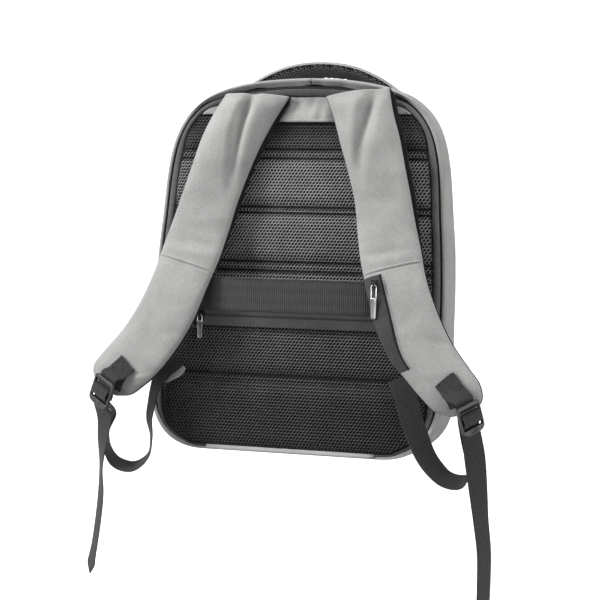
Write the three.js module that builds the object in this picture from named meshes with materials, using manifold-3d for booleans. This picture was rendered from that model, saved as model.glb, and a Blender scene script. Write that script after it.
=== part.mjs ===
// Anti-theft backpack: soft grey shell, black mesh back panel with a strap across it, padded shoulder straps.
// Millimetres. +Z is up, +Y points away from the wearer. Left and right are as seen facing the back panel.
// The origin is the middle of the flat base that the bag sits on.
import * as THREE from 'three';
import { mergeVertices } from 'three/addons/utils/BufferGeometryUtils.js';
import Module from 'manifold-3d';

const wasm = await Module();
wasm.setup();
const { clamp, degToRad, lerp, smoothstep } = THREE.MathUtils;

// Main sizes of the bag
const HEIGHT = 420;
const BACK_Y = -75;
const FRONT_Y = 75;
const LEAN = degToRad(6.5);
const WALL = 2.6;
const SEAM_GAP = 0.4;
const WELD = 1e-4;

// Half of the rim's outline, as curves that run on from the flat base to the middle of the top
const BASE_HALF = 103;
const CURVE_STEPS = 6;
const RIM_CURVES = [
  { leaveX: 140, leaveZ: 0, arriveX: 165, arriveZ: 21, endX: 168, endZ: 60 },
  { leaveX: 171.5, leaveZ: 125, arriveX: 171, arriveZ: 200, endX: 165, endZ: 262 },
  { leaveX: 161, leaveZ: 320, arriveX: 162, arriveZ: 369, endX: 121, endZ: 397 },
  { leaveX: 96, leaveZ: 414, arriveX: 45, arriveZ: HEIGHT, endX: 0, endZ: HEIGHT },
];

// The shell's rings from the rim to the front: shares of the depth and of the rim's width, their heights,
// and how much wider each one is low down, where the cloth sags
const SHELL_RINGS = [
  { depth: 0.0, width: 1.0, low: 0, high: 420, sag: 0 },
  { depth: 0.1, width: 1.006, low: 0, high: 422, sag: 0.012 },
  { depth: 0.28, width: 1.008, low: 0, high: 421, sag: 0.03 },
  { depth: 0.5, width: 0.995, low: 0, high: 415, sag: 0.036 },
  { depth: 0.7, width: 0.962, low: 0, high: 404, sag: 0.03 },
  { depth: 0.84, width: 0.905, low: 3, high: 387, sag: 0.02 },
  { depth: 0.93, width: 0.81, low: 14, high: 361, sag: 0.01 },
  { depth: 0.98, width: 0.66, low: 42, high: 320, sag: 0 },
  { depth: 1.0, width: 0.41, low: 98, high: 258, sag: 0 },
];
const SAG_TOP = 150;
const SHELL_TIP = { depth: 1.01, z: 180 };
const HEM_OUT = 1.2;
// How late in its depth the wall turns from standing sideways to facing the front, as a power
const WALL_TURN = 3;

// Bands round the rim, measured inwards: the shell's hem, a slit with the zip in it, and the panel's binding
const RIM_BANDS = {
  base: { hem: 3.2, slit: 0.4, binding: 2.2 },
  side: { hem: 4, slit: 2, binding: 8 },
  shoulder: { hem: 4, slit: 1.6, binding: 5.5 },
  top: { hem: 8.5, slit: 2, binding: 9 },
};
const BAND_BLENDS = [
  { band: 'side', from: 0, to: 40 },
  { band: 'shoulder', from: 330, to: 375 },
  { band: 'top', from: 392, to: HEIGHT },
];
const BINDING = { edge: 0.6, crown: 3, back: -2.4 };
const ZIP_TAPE = { front: -2.8, thick: 1.6, tuck: 1 };
// Strip in front of the hem along the base, where the panel hinges between the zip's two ends
const GUSSET = { half: 98, low: 0.4, high: 6.2, edge: 2.2, crown: 4, back: 1.6 };

// Back panel, its mesh pad and the yoke above it, with heights measured out from the rim's plane
const PANEL_FACE = 0;
const PANEL_THICK = 3;
const PAD = { border: 0.4, low: 7, corner: 20, high: 370, roundness: 8 };
const PAD_OUT = { base: 0.3, edge: 2.5, groove: 4.6, crown: 10 };
const PAD_SEAMS = { first: 83.5, pitch: 63, count: 5, halfBand: 5, shoulder: 14, shoulderShare: 0.8 };
const PAD_COLUMNS = [-1, -0.95, -0.8, -0.4, 0, 0.4, 0.8, 0.95, 1];
const YOKE = { low: 371.5, topMargin: 0.5, thick: 2, base: 0.3, steps: 6, crowding: 1.6 };
const YOKE_RISE = { height: 9, from: 0.4, to: 0.85 };

// Shoulder straps: where their outer and inner edges run, from the top seam to the rounded end
const STRAP_EDGES = {
  left: [
    { outerX: 91, outerZ: 401, outerOut: 8, innerX: 16, innerZ: 398, innerOut: 8 },
    { outerX: 102.5, outerZ: 382, outerOut: 12, innerX: 30, innerZ: 375, innerOut: 12 },
    { outerX: 113.5, outerZ: 352, outerOut: 21, innerX: 44, innerZ: 344, innerOut: 19 },
    { outerX: 121, outerZ: 322, outerOut: 28, innerX: 56.5, innerZ: 312, innerOut: 21 },
    { outerX: 129, outerZ: 292, outerOut: 31.5, innerX: 66, innerZ: 281, innerOut: 25 },
    { outerX: 138, outerZ: 262, outerOut: 32, innerX: 73.5, innerZ: 248, innerOut: 30 },
    { outerX: 147, outerZ: 232, outerOut: 34, innerX: 80.5, innerZ: 216, innerOut: 38.5 },
    { outerX: 154.5, outerZ: 202, outerOut: 40, innerX: 91, innerZ: 184, innerOut: 45.5 },
    { outerX: 168.5, outerZ: 166, outerOut: 45, innerX: 104, innerZ: 148, innerOut: 48.5 },
    { outerX: 186, outerZ: 136, outerOut: 48, innerX: 121.5, innerZ: 116, innerOut: 51 },
    { outerX: 206.5, outerZ: 110, outerOut: 52, innerX: 141.5, innerZ: 89, innerOut: 55 },
    { outerX: 217, outerZ: 94, outerOut: 54, innerX: 158, innerZ: 74, innerOut: 56 },
    { outerX: 214, outerZ: 80, outerOut: 55, innerX: 172, innerZ: 64, innerOut: 56 },
    { outerX: 204, outerZ: 69, outerOut: 55.5, innerX: 188, innerZ: 62, innerOut: 56 },
  ],
  right: [
    { outerX: 97.5, outerZ: 402, outerOut: 8, innerX: 26.5, innerZ: 399, innerOut: 8 },
    { outerX: 104.5, outerZ: 383, outerOut: 12, innerX: 36.5, innerZ: 378, innerOut: 12 },
    { outerX: 115.5, outerZ: 353, outerOut: 21, innerX: 48.5, innerZ: 346, innerOut: 19 },
    { outerX: 124, outerZ: 323, outerOut: 28, innerX: 60, innerZ: 314, innerOut: 21 },
    { outerX: 132, outerZ: 293, outerOut: 31.5, innerX: 70, innerZ: 281, innerOut: 25 },
    { outerX: 139, outerZ: 262, outerOut: 32, innerX: 75.5, innerZ: 248, innerOut: 30 },
    { outerX: 147, outerZ: 232, outerOut: 34, innerX: 82.5, innerZ: 216, innerOut: 38.5 },
    { outerX: 155, outerZ: 202, outerOut: 40, innerX: 93, innerZ: 185, innerOut: 45.5 },
    { outerX: 169.5, outerZ: 167, outerOut: 45, innerX: 105, innerZ: 149, innerOut: 48.5 },
    { outerX: 186.5, outerZ: 136, outerOut: 48, innerX: 122.5, innerZ: 116, innerOut: 51 },
    { outerX: 207, outerZ: 110, outerOut: 52, innerX: 145, innerZ: 91, innerOut: 55 },
    { outerX: 219.5, outerZ: 94, outerOut: 54, innerX: 161, innerZ: 75, innerOut: 56 },
    { outerX: 222.5, outerZ: 78, outerOut: 55, innerX: 174, innerZ: 64, innerOut: 56 },
    { outerX: 213, outerZ: 64, outerOut: 55.5, innerX: 190, innerZ: 59, innerOut: 56 },
  ],
};
const STRAP = { rows: 25, edge: 3.5, crown: 11, roundness: 3, lining: 4, liningGap: 0.3 };
const STRAP_ENDS = { sewnCrown: 5, sewnTo: 0.2, endCrown: 6, endFrom: 0.85 };
const STRAP_COLUMNS = [0, 0.05, 0.14, 0.26, 0.38, 0.5, 0.62, 0.74, 0.86, 0.95, 1];
const LINING_COLUMNS = [0.01, 0.34, 0.66, 0.99];
// Folds at a strap's top end, and the valley between them: its place across the strap and its drift inwards
const STRAP_FOLD = { height: 6, width: 0.13, fadeFrom: 0.1, fadeTo: 0.25 };
const STRAP_VALLEYS = {
  left: { startV: 0.5, drift: 0.5 },
  right: { startV: 0.74, drift: 2.45 },
};

// Zipped pocket along the inner edge of the right strap, in shares of the strap's length and width
const STRAP_ZIP = { from: 0.515, taperFrom: 0.58, to: 0.735, rows: 9, columns: 4, lift: 0.5, thick: 1.2 };
const STRAP_ZIP_EDGES = { nearV: 0.02, farV: 0.27, endV: 0.15 };

// Webbing and its ladder-lock buckles
const WEBBING = { width: 25, thick: 1.6 };
const ANCHOR = { startLift: 1.5, endLift: 5.4, rows: 4 };
const ANCHORS = {
  left: { from: 0.775, to: 0.83, startV: 0.45, endV: 0.47 },
  right: { from: 0.791, to: 0.85, startV: 0.55, endV: 0.56 },
};
const BUCKLES = {
  left: { x: 198.5, z: 67.5, out: 75, heading: 24, roll: 24 },
  right: { x: 215, z: 60.5, out: 74, heading: 50, roll: 19 },
};
const BUCKLE = { width: 30.6, slotWidth: 26.2, top: 17.2, tongue: -15.6, thick: 3.2, bevel: 0.4, corner: 3 };
const BUCKLE_SLOTS = [
  { low: 2.5, high: 13.4 },
  { low: -9, high: -2.5 },
];
// The route of the webbing through a buckle, along the buckle and out from its middle
const BUCKLE_ROUTE = [
  { along: -8, out: -7.4 },
  { along: 1, out: -6.4 },
  { along: 6, out: -4.6 },
  { along: 7.8, out: -1 },
  { along: 6.4, out: 2.4 },
  { along: 3, out: 4.2 },
  { along: -1, out: 4.2 },
  { along: -4.2, out: 2 },
  { along: -6, out: -1.4 },
  { along: -8.6, out: -4 },
  { along: -15, out: -4.8 },
];
const ANCHOR_ROUTE = [
  { along: 21, out: -3.9 },
  { along: 17, out: -3.6 },
  { along: 13.8, out: -3.4 },
  { along: 11.4, out: -2.2 },
  { along: 10.6, out: 0.4 },
];
// Free webbing: side distance, height, distance out from the rim's plane, heading and tilt of its width
const LOOPS = {
  left: [
    { x: 136, z: 101, out: 13, turn: 14, tilt: 34 },
    { x: 147, z: 87, out: 20, turn: 34, tilt: 20 },
    { x: 153, z: 71, out: 27, turn: 48, tilt: 10 },
    { x: 155, z: 52, out: 32, turn: 51, tilt: 4 },
    { x: 154, z: 36, out: 38, turn: 55, tilt: 2 },
    { x: 149, z: 17, out: 43, turn: 64, tilt: 0 },
    { x: 150, z: -3, out: 48, turn: 70, tilt: 8 },
    { x: 165, z: -15.5, out: 52, turn: 76, tilt: 18 },
    { x: 185, z: -11.5, out: 53.5, turn: 82, tilt: 18 },
    { x: 197, z: 5, out: 53, turn: 82, tilt: 3 },
    { x: 195.5, z: 27, out: 55, turn: 64, tilt: 0 },
    { x: 190.5, z: 46, out: 58.5, turn: 50, tilt: 2 },
  ],
  right: [
    { x: 124, z: 92, out: 13.6, turn: 12, tilt: 26 },
    { x: 134, z: 74, out: 21, turn: 26, tilt: 18 },
    { x: 143, z: 53, out: 31, turn: 28, tilt: 16 },
    { x: 152, z: 35, out: 37, turn: 34, tilt: 15 },
    { x: 162, z: 17, out: 43, turn: 42, tilt: 16 },
    { x: 173, z: 4, out: 47, turn: 62, tilt: 30 },
    { x: 188, z: -7, out: 50, turn: 80, tilt: 32 },
    { x: 205, z: -8, out: 52, turn: 88, tilt: 28 },
    { x: 215, z: 5, out: 54, turn: 78, tilt: 14 },
    { x: 213, z: 30, out: 57, turn: 60, tilt: 3 },
  ],
};
const TAILS = {
  left: [
    { x: 198, z: 39, out: 64, turn: 28, tilt: 0 },
    { x: 198.5, z: 13, out: 65, turn: 43, tilt: -2 },
    { x: 200, z: -18, out: 61.5, turn: 60, tilt: -3 },
    { x: 199.5, z: -44, out: 59.5, turn: 54, tilt: 0 },
    { x: 201.5, z: -73, out: 58, turn: 53, tilt: -2 },
    { x: 205, z: -104, out: 57, turn: 53, tilt: -2 },
    { x: 208, z: -124, out: 56.5, turn: 48, tilt: -1 },
    { x: 209, z: -136, out: 56, turn: 42, tilt: 0 },
  ],
  right: [
    { x: 216, z: 38, out: 64, turn: 46, tilt: 2 },
    { x: 219, z: 19, out: 62, turn: 38, tilt: -4 },
    { x: 223.5, z: -14, out: 60, turn: 49, tilt: -2 },
    { x: 227.5, z: -45, out: 59, turn: 60, tilt: -2 },
    { x: 232, z: -78, out: 58, turn: 64, tilt: -3 },
    { x: 233, z: -116, out: 57, turn: 66, tilt: -3 },
    { x: 233, z: -148, out: 56, turn: 67, tilt: -2 },
  ],
};
const RIBBON_STEPS = 3;

// Grey tab under the lower end of each webbing, and how wide and how far inwards each one is set
const TAB = { thick: 1.8, rows: 6 };
const TABS = {
  left: { width: 27, inward: 3.5 },
  right: { width: 23, inward: 0 },
};

// Strap across the panel, from the sewn end to the middle of its flat front, and the pocket's welt below it
const LUGGAGE = { width: 38, thick: 1.8, middleZ: 178, steps: 3 };
const LUGGAGE_ROUTE = [
  { x: 132, out: 11.6 },
  { x: 119, out: 12.4 },
  { x: 109, out: 16 },
  { x: 101, out: 28 },
  { x: 91, out: 34.5 },
  { x: 72, out: 36.4 },
  { x: 36, out: 36.9 },
  { x: 0, out: 37 },
];
const WELT = { half: 114, low: 140.5, high: 158.5, face: 10.8, thick: 2, steps: 6 };

// Zip sliders and their hanging pulls
const SLIDER = { width: 8, length: 11, thick: 2.6, bailWidth: 2.2, bailHeight: 5, bailWall: 1.4 };
const BAIL = { low: -4.1, high: 3, pivotOut: 1.9 };
const PULL = { width: 6.6, thick: 1.8, bar: 0.9, eyeWidth: 3.6, taper: 0.6, corner: 1.2 };
const PULLS = {
  left: { x: -108.5, z: 152, out: 11.1, length: 26.5, eyeLength: 5 },
  right: { x: 103, z: 194.5, out: 58, length: 36, eyeLength: 10 },
};

// Grab handle over the top, from its left end to the middle
const HANDLE = { y: 40, width: 28, cover: 2.6, lining: 5, tilt: degToRad(20), steps: 3 };
const HANDLE_ROUTE = [
  { x: -94, z: 398.4 },
  { x: -88.5, z: 402 },
  { x: -79, z: 408.6 },
  { x: -65, z: 417 },
  { x: -44, z: 426 },
  { x: -18, z: 431.5 },
];

// Colours and finishes
const CLOTH = { roughness: 0.9, metalness: 0 };
const FINISHES = {
  grey: { color: 0x9a9c99, ...CLOTH },
  greyDark: { color: 0x55585a, ...CLOTH },
  mesh: { color: 0x2b2d2d, ...CLOTH },
  black: { color: 0x1c1d1e, ...CLOTH },
  webbing: { color: 0x2a2b2b, ...CLOTH },
  plastic: { color: 0x242526, roughness: 0.45, metalness: 0 },
  nickel: { color: 0xb9bbbd, roughness: 0.25, metalness: 1 },
};

const bag = new THREE.Group();

function addPiece(name, geometry, finish) {
  const mesh = new THREE.Mesh(geometry, new THREE.MeshStandardMaterial(FINISHES[finish]));
  mesh.name = name;
  bag.add(mesh);
  return mesh;
}

// A point on the leaning back of the bag, a distance out towards the wearer
function atBack(x, z, out) {
  return new THREE.Vector3(x, BACK_Y + z * Math.tan(LEAN) - out, z);
}

// Turns an indexed mesh inside out where its faces point inwards
function facingOut(points, index) {
  let volume = 0;
  for (let i = 0; i < index.length; i += 3) {
    const [a, b, c] = [points[index[i]], points[index[i + 1]], points[index[i + 2]]];
    volume += a.dot(new THREE.Vector3().crossVectors(b, c));
  }
  const geometry = new THREE.BufferGeometry().setFromPoints(points);
  geometry.setIndex(volume < 0 ? [...index].reverse() : index);
  geometry.computeVertexNormals();
  return geometry;
}

// Closed solid between two grids of points; the columns may run round, and the last row may close on two tips
function slab(upper, lower, { wrapped = false, tips = null } = {}) {
  const rows = upper.length;
  const columns = upper[0].length;
  const points = [...upper.flat(), ...lower.flat()];
  const top = (r, c) => r * columns + (c % columns);
  const under = (r, c) => rows * columns + top(r, c);
  const index = [];
  const quad = (a, b, c, d) => index.push(a, b, c, a, c, d);
  const spans = wrapped ? columns : columns - 1;
  for (let r = 0; r < rows - 1; r += 1) {
    for (let c = 0; c < spans; c += 1) {
      quad(top(r, c), top(r, c + 1), top(r + 1, c + 1), top(r + 1, c));
      quad(under(r, c), under(r + 1, c), under(r + 1, c + 1), under(r, c + 1));
    }
    if (!wrapped) {
      quad(top(r, 0), top(r + 1, 0), under(r + 1, 0), under(r, 0));
      quad(top(r, spans), under(r, spans), under(r + 1, spans), top(r + 1, spans));
    }
  }
  const last = rows - 1;
  const topTip = points.length;
  if (tips) points.push(tips.upper, tips.lower);
  for (let c = 0; c < spans; c += 1) {
    quad(top(0, c), under(0, c), under(0, c + 1), top(0, c + 1));
    if (tips) {
      index.push(top(last, c), top(last, c + 1), topTip);
      index.push(under(last, c + 1), under(last, c), topTip + 1);
    } else {
      quad(top(last, c), top(last, c + 1), under(last, c + 1), under(last, c));
    }
  }
  return facingOut(points, index);
}

// Flat ribbon along rows of a middle point and a direction for the width, lifted or shifted off its route
function ribbon(rows, width, thick, lift = 0, shift = 0) {
  const upper = [];
  const lower = [];
  rows.forEach((row, i) => {
    const before = rows[Math.max(i - 1, 0)].point;
    const after = rows[Math.min(i + 1, rows.length - 1)].point;
    const ahead = after.clone().sub(before).normalize();
    const across = row.across.clone().addScaledVector(ahead, -row.across.dot(ahead)).normalize();
    const face = new THREE.Vector3().crossVectors(ahead, across);
    const sides = [shift - width / 2, shift + width / 2];
    const edges = sides.map((w) => row.point.clone().addScaledVector(across, w));
    upper.push(edges.map((p) => p.clone().addScaledVector(face, lift + thick / 2)));
    lower.push(edges.map((p) => p.clone().addScaledVector(face, lift - thick / 2)));
  });
  return slab(upper, lower);
}

// Smooth rows between the given ones, with a number of steps for each stretch
function smoothRows(rows, steps) {
  const path = new THREE.CatmullRomCurve3(rows.map((row) => row.point), false, 'centripetal');
  const widths = new THREE.CatmullRomCurve3(rows.map((row) => row.across), false, 'centripetal');
  const count = (rows.length - 1) * steps;
  return Array.from({ length: count + 1 }, (_, i) => ({
    point: path.getPoint(i / count),
    across: widths.getPoint(i / count),
  }));
}

function rimOutline() {
  const half = new THREE.Path();
  half.moveTo(0, 0);
  half.lineTo(GUSSET.half - SEAM_GAP, 0);
  half.lineTo(GUSSET.half, 0);
  half.lineTo(BASE_HALF, 0);
  for (const c of RIM_CURVES) {
    half.bezierCurveTo(c.leaveX, c.leaveZ, c.arriveX, c.arriveZ, c.endX, c.endZ);
  }
  const right = half.getPoints(CURVE_STEPS);
  const left = right.slice(1, -1).reverse();
  return [...right, ...left.map((p) => new THREE.Vector2(-p.x, p.y))];
}

// Moves an outline inwards by a distance that may change with height
function inset(outline, distanceAt) {
  return outline.map((p, i) => {
    const before = outline.at(i - 1);
    const after = outline[(i + 1) % outline.length];
    const inward = new THREE.Vector2(before.y - after.y, after.x - before.x).normalize();
    return p.clone().addScaledVector(inward, distanceAt(p.y));
  });
}

const RIM = rimOutline();

// Width of one of the rim's bands at a height
function bandWidth(name, z) {
  return BAND_BLENDS.reduce(
    (width, { band, from, to }) => lerp(width, RIM_BANDS[band][name], smoothstep(z, from, to)),
    RIM_BANDS.base[name],
  );
}

const hemInset = (z) => bandWidth('hem', z);
const tapeStart = (z) => Math.max(hemInset(z) - ZIP_TAPE.tuck, WALL + SEAM_GAP);
const bindingStart = (z) => hemInset(z) + bandWidth('slit', z);
const bindingEnd = (z) => bindingStart(z) + bandWidth('binding', z);
const panelInset = (z) => bindingEnd(z) + SEAM_GAP;
const padInset = (z) => panelInset(z) + PAD.border;

// Half the width of an outline at a height
function halfWidth(outline, z) {
  let widest = 0;
  outline.forEach((p, i) => {
    const q = outline[(i + 1) % outline.length];
    const low = Math.min(p.y, q.y);
    const high = Math.max(p.y, q.y);
    if (high - low > WELD && z >= low && z <= high) {
      widest = Math.max(widest, Math.abs(lerp(p.x, q.x, (z - p.y) / (q.y - p.y))));
    }
  });
  return widest;
}

function shellRing(ring, shrink) {
  const level = (p) => lerp(ring.low, ring.high, p.y / HEIGHT);
  const widthAt = (z) => ring.width + ring.sag * (1 - smoothstep(z, 0, SAG_TOP));
  const outline = RIM.map((p) => new THREE.Vector2(p.x * widthAt(p.y), level(p)));
  const backward = shrink * clamp(ring.depth, 0, 1) ** WALL_TURN;
  return inset(outline, () => shrink).map((p) => {
    const back = BACK_Y + p.y * Math.tan(LEAN);
    return new THREE.Vector3(p.x, lerp(back, FRONT_Y, ring.depth) - backward, p.y);
  });
}

function shellTip(shrink) {
  const back = BACK_Y + SHELL_TIP.z * Math.tan(LEAN);
  return new THREE.Vector3(0, lerp(back, FRONT_Y, SHELL_TIP.depth) - shrink, SHELL_TIP.z);
}

// Hollow soft shell, open at the back, with a hem turned in round its rim
function shell() {
  const hemRow = (distanceAt, out) => inset(RIM, distanceAt).map((p) => atBack(p.x, p.y, out));
  const outer = [hemRow(hemInset, HEM_OUT), hemRow(() => HEM_OUT, HEM_OUT)];
  const inner = [hemRow(hemInset, HEM_OUT - WALL), hemRow(() => WALL + SEAM_GAP, HEM_OUT - WALL)];
  for (const ring of SHELL_RINGS) {
    outer.push(shellRing(ring, 0));
    inner.push(ring.depth > 0 ? shellRing(ring, WALL) : hemRow(() => WALL, -WALL));
  }
  return slab(outer, inner, { wrapped: true, tips: { upper: shellTip(0), lower: shellTip(WALL) } });
}

// A band along part of the rim, from one inset to another, with a crowned or flat face
function rimBand(indices, startAt, endAt, profile, back) {
  const edges = { start: inset(RIM, startAt), end: inset(RIM, endAt) };
  const row = (i, outAt) =>
    profile.map(({ share, out }) => {
      const p = edges.start[i].clone().lerp(edges.end[i], share);
      return atBack(p.x, p.y, outAt(out));
    });
  return slab(
    indices.map((i) => row(i, (out) => out)),
    indices.map((i) => row(i, () => back)),
  );
}

// The rim's points with the base between the zip's two ends left out, or only that stretch
const rimIndices = RIM.map((_, i) => i);
const inGusset = (i) => RIM[i].y < SEAM_GAP && Math.abs(RIM[i].x) < GUSSET.half;
const zippedStretch = rimIndices.filter((i) => !inGusset(i));
const gussetRight = rimIndices.filter((i) => inGusset(i) && RIM[i].x >= 0);
const gussetStretch = [...rimIndices.filter((i) => inGusset(i) && RIM[i].x < 0), ...gussetRight];

const crownedProfile = ({ edge, crown }) => [
  { share: 0, out: edge },
  { share: 0.25, out: crown },
  { share: 0.75, out: crown },
  { share: 1, out: edge },
];
const flatProfile = (out) => [
  { share: 0, out },
  { share: 1, out },
];

function backPanel() {
  const outline = new THREE.Shape(inset(RIM, panelInset));
  const plate = new THREE.ExtrudeGeometry(outline, { depth: PANEL_THICK, bevelEnabled: false });
  const spots = plate.attributes.position;
  for (let i = 0; i < spots.count; i += 1) {
    const p = atBack(spots.getX(i), spots.getY(i), PANEL_FACE - PANEL_THICK + spots.getZ(i));
    spots.setXYZ(i, p.x, p.y, p.z);
  }
  return plate;
}

// Heights of the mesh pad's rows: each sewn channel rises from one seam and falls to the next
function padRows() {
  const { first, pitch, count, halfBand, shoulder, shoulderShare } = PAD_SEAMS;
  const shoulderRise = lerp(PAD_OUT.groove, PAD_OUT.crown, shoulderShare);
  const seams = Array.from({ length: count }, (_, i) => first + i * pitch);
  const rows = [];
  const edges = [PAD.low - halfBand, ...seams, PAD.high + halfBand];
  for (let i = 0; i < edges.length - 1; i += 1) {
    const [low, high] = [edges[i], edges[i + 1]];
    rows.push({ z: low + halfBand, rise: i === 0 ? PAD_OUT.edge : PAD_OUT.groove });
    rows.push({ z: low + shoulder, rise: shoulderRise });
    if (i === 0) rows.push({ z: PAD.low + PAD.corner, rise: PAD_OUT.crown });
    if (high - low > 3 * shoulder) rows.push({ z: (low + high) / 2, rise: PAD_OUT.crown });
    rows.push({ z: high - shoulder, rise: shoulderRise });
    rows.push({ z: high - halfBand, rise: i === edges.length - 2 ? PAD_OUT.edge : PAD_OUT.groove });
  }
  return rows;
}

function meshPad() {
  const outline = inset(RIM, padInset);
  const grid = (outAt) =>
    padRows().map(({ z, rise }) => {
      const half = halfWidth(outline, z);
      return PAD_COLUMNS.map((u) => {
        const rounded = lerp(PAD_OUT.edge, rise, Math.sqrt(1 - Math.abs(u) ** PAD.roundness));
        return atBack(u * half, z, outAt(Math.min(rounded, rise)));
      });
    });
  return slab(grid((out) => out), grid(() => PAD_OUT.base));
}

// Plain panel above the pad, with a lower edge that rises at the sides
function yoke() {
  const outline = inset(RIM, panelInset);
  const top = Math.max(...outline.map((p) => p.y)) - YOKE.topMargin;
  const grid = (out) =>
    Array.from({ length: YOKE.steps + 1 }, (_, i) => {
      const level = lerp(YOKE.low, top, 1 - (1 - i / YOKE.steps) ** YOKE.crowding);
      const sideRise = YOKE_RISE.height * (1 - i / YOKE.steps);
      const half = halfWidth(outline, level + sideRise) - SEAM_GAP;
      return PAD_COLUMNS.map((u) => {
        const rise = sideRise * smoothstep(Math.abs(u), YOKE_RISE.from, YOKE_RISE.to);
        return atBack(u * half, level + rise, out);
      });
    });
  return slab(grid(YOKE.base + YOKE.thick), grid(YOKE.base));
}

// A shoulder strap: its two edges as curves, and the valley in its top end
function shoulderStrap(sideName, side) {
  const curve = (x, z, out) => {
    const points = STRAP_EDGES[sideName].map((row) => atBack(side * row[x], row[z], row[out]));
    return new THREE.CatmullRomCurve3(points, false, 'centripetal');
  };
  return {
    outer: curve('outerX', 'outerZ', 'outerOut'),
    inner: curve('innerX', 'innerZ', 'innerOut'),
    valley: STRAP_VALLEYS[sideName],
  };
}

// Height of a strap's cover above its underside at shares of its length and width
function strapRise(strap, s, v) {
  const full = lerp(STRAP_ENDS.sewnCrown, STRAP.crown, smoothstep(s, 0, STRAP_ENDS.sewnTo));
  const crown = lerp(full, STRAP_ENDS.endCrown, smoothstep(s, STRAP_ENDS.endFrom, 1));
  const bulge = Math.sqrt(1 - Math.abs(2 * v - 1) ** STRAP.roundness);
  const valleyV = strap.valley.startV - strap.valley.drift * s;
  const valley = Math.exp(-(((v - valleyV) / STRAP_FOLD.width) ** 2));
  const fade = 1 - smoothstep(s, STRAP_FOLD.fadeFrom, STRAP_FOLD.fadeTo);
  const fold = STRAP_FOLD.height * fade * (1 - valley) * Math.sin(Math.PI * v);
  return STRAP.edge + (crown - STRAP.edge) * bulge + fold;
}

// A point at shares of a strap's length and width, a height above its underside
function strapPoint(strap, s, v, height) {
  const outer = strap.outer.getPoint(s);
  const inner = strap.inner.getPoint(s);
  const ahead = strap.outer.getTangent(s).add(strap.inner.getTangent(s));
  const face = new THREE.Vector3().crossVectors(outer.clone().sub(inner), ahead).normalize();
  if (face.y > 0) face.negate();
  return inner.lerp(outer, v).addScaledVector(face, height);
}

// A sheet over the length of a strap, between two heights that may change over it
function strapSheet(strap, columns, upperAt, lowerAt) {
  const grid = (heightAt) =>
    spread(0, 1, STRAP.rows).map((s) => columns.map((v) => strapPoint(strap, s, v, heightAt(s, v))));
  return slab(grid(upperAt), grid(lowerAt));
}

// Zipped band along a strap's inner edge, narrowing to its lower end
function strapZipBand(strap) {
  const { from, taperFrom, to, rows, columns, lift, thick } = STRAP_ZIP;
  const { nearV, farV, endV } = STRAP_ZIP_EDGES;
  const grid = (height) =>
    spread(from, to, rows).map((s) => {
      const far = lerp(farV, endV, smoothstep(s, taperFrom, to));
      const point = (v) => strapPoint(strap, s, v, strapRise(strap, s, v) + height);
      return spread(nearV, far, columns).map(point);
    });
  return slab(grid(lift + thick), grid(lift));
}

const spread = (from, to, count) => Array.from({ length: count }, (_, i) => lerp(from, to, i / (count - 1)));

// Directions of a buckle: across its bars, up towards the strap, and out of its face
function buckleFrame(sideName, side) {
  const { x, z, out, heading, roll } = BUCKLES[sideName];
  const turn = degToRad(heading);
  const tip = degToRad(roll);
  const flat = new THREE.Vector3(side * Math.cos(turn), Math.sin(turn), 0);
  const face = new THREE.Vector3(side * Math.sin(turn), -Math.cos(turn), 0);
  const along = new THREE.Vector3(0, 0, Math.cos(tip)).addScaledVector(flat, -Math.sin(tip));
  const across = new THREE.Vector3().crossVectors(along, face);
  return { centre: atBack(side * x, z, out), across, along, face };
}

function inBuckle(frame, { along, out }) {
  const point = frame.centre.clone().addScaledVector(frame.along, along).addScaledVector(frame.face, out);
  return { point, across: frame.across.clone() };
}

// Ladder-lock: a frame with two slots and a rounded tongue
function buckleGeometry() {
  const { width, slotWidth, top, tongue, corner, thick, bevel } = BUCKLE;
  const half = width / 2 - bevel;
  const shape = new THREE.Shape();
  shape.moveTo(half, top - corner);
  shape.quadraticCurveTo(half, top, half - corner, top);
  shape.lineTo(corner - half, top);
  shape.quadraticCurveTo(-half, top, -half, top - corner);
  shape.lineTo(-half, BUCKLE_SLOTS[1].low);
  shape.bezierCurveTo(-half, tongue, -half / 2, tongue, 0, tongue);
  shape.bezierCurveTo(half / 2, tongue, half, tongue, half, BUCKLE_SLOTS[1].low);
  shape.closePath();
  const edge = { bevelThickness: bevel, bevelSize: bevel, bevelSegments: 1 };
  const options = { depth: thick, curveSegments: 5, ...edge };
  const plate = new THREE.ExtrudeGeometry(shape, options).translate(0, 0, -thick / 2);
  const slotted = BUCKLE_SLOTS.reduce((body, { low, high }) => {
    const slot = new THREE.BoxGeometry(slotWidth, high - low, 3 * thick).translate(0, (low + high) / 2, 0);
    return body.subtract(solid(slot));
  }, solid(plate));
  return fromSolid(slotted);
}

// One row of free webbing, with the direction of its width
function webbingRow(side, { x, z, out, turn, tilt }) {
  const level = Math.cos(degToRad(tilt));
  const heading = degToRad(turn);
  const across = new THREE.Vector3(
    side * level * Math.cos(heading),
    level * Math.sin(heading),
    Math.sin(degToRad(tilt)),
  );
  return { point: atBack(side * x, z, out), across };
}

function adjusterRows(sideName, side) {
  const frame = buckleFrame(sideName, side);
  const towardsStart = frame.across.x * side > 0 ? 1 : -1;
  const threaded = BUCKLE_ROUTE.map((row) => inBuckle(frame, row));
  threaded.forEach((row) => row.across.multiplyScalar(towardsStart));
  const rows = [
    ...LOOPS[sideName].map((row) => webbingRow(side, row)),
    ...threaded,
    ...TAILS[sideName].map((row) => webbingRow(side, row)),
  ];
  return smoothRows(rows, RIBBON_STEPS);
}

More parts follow.
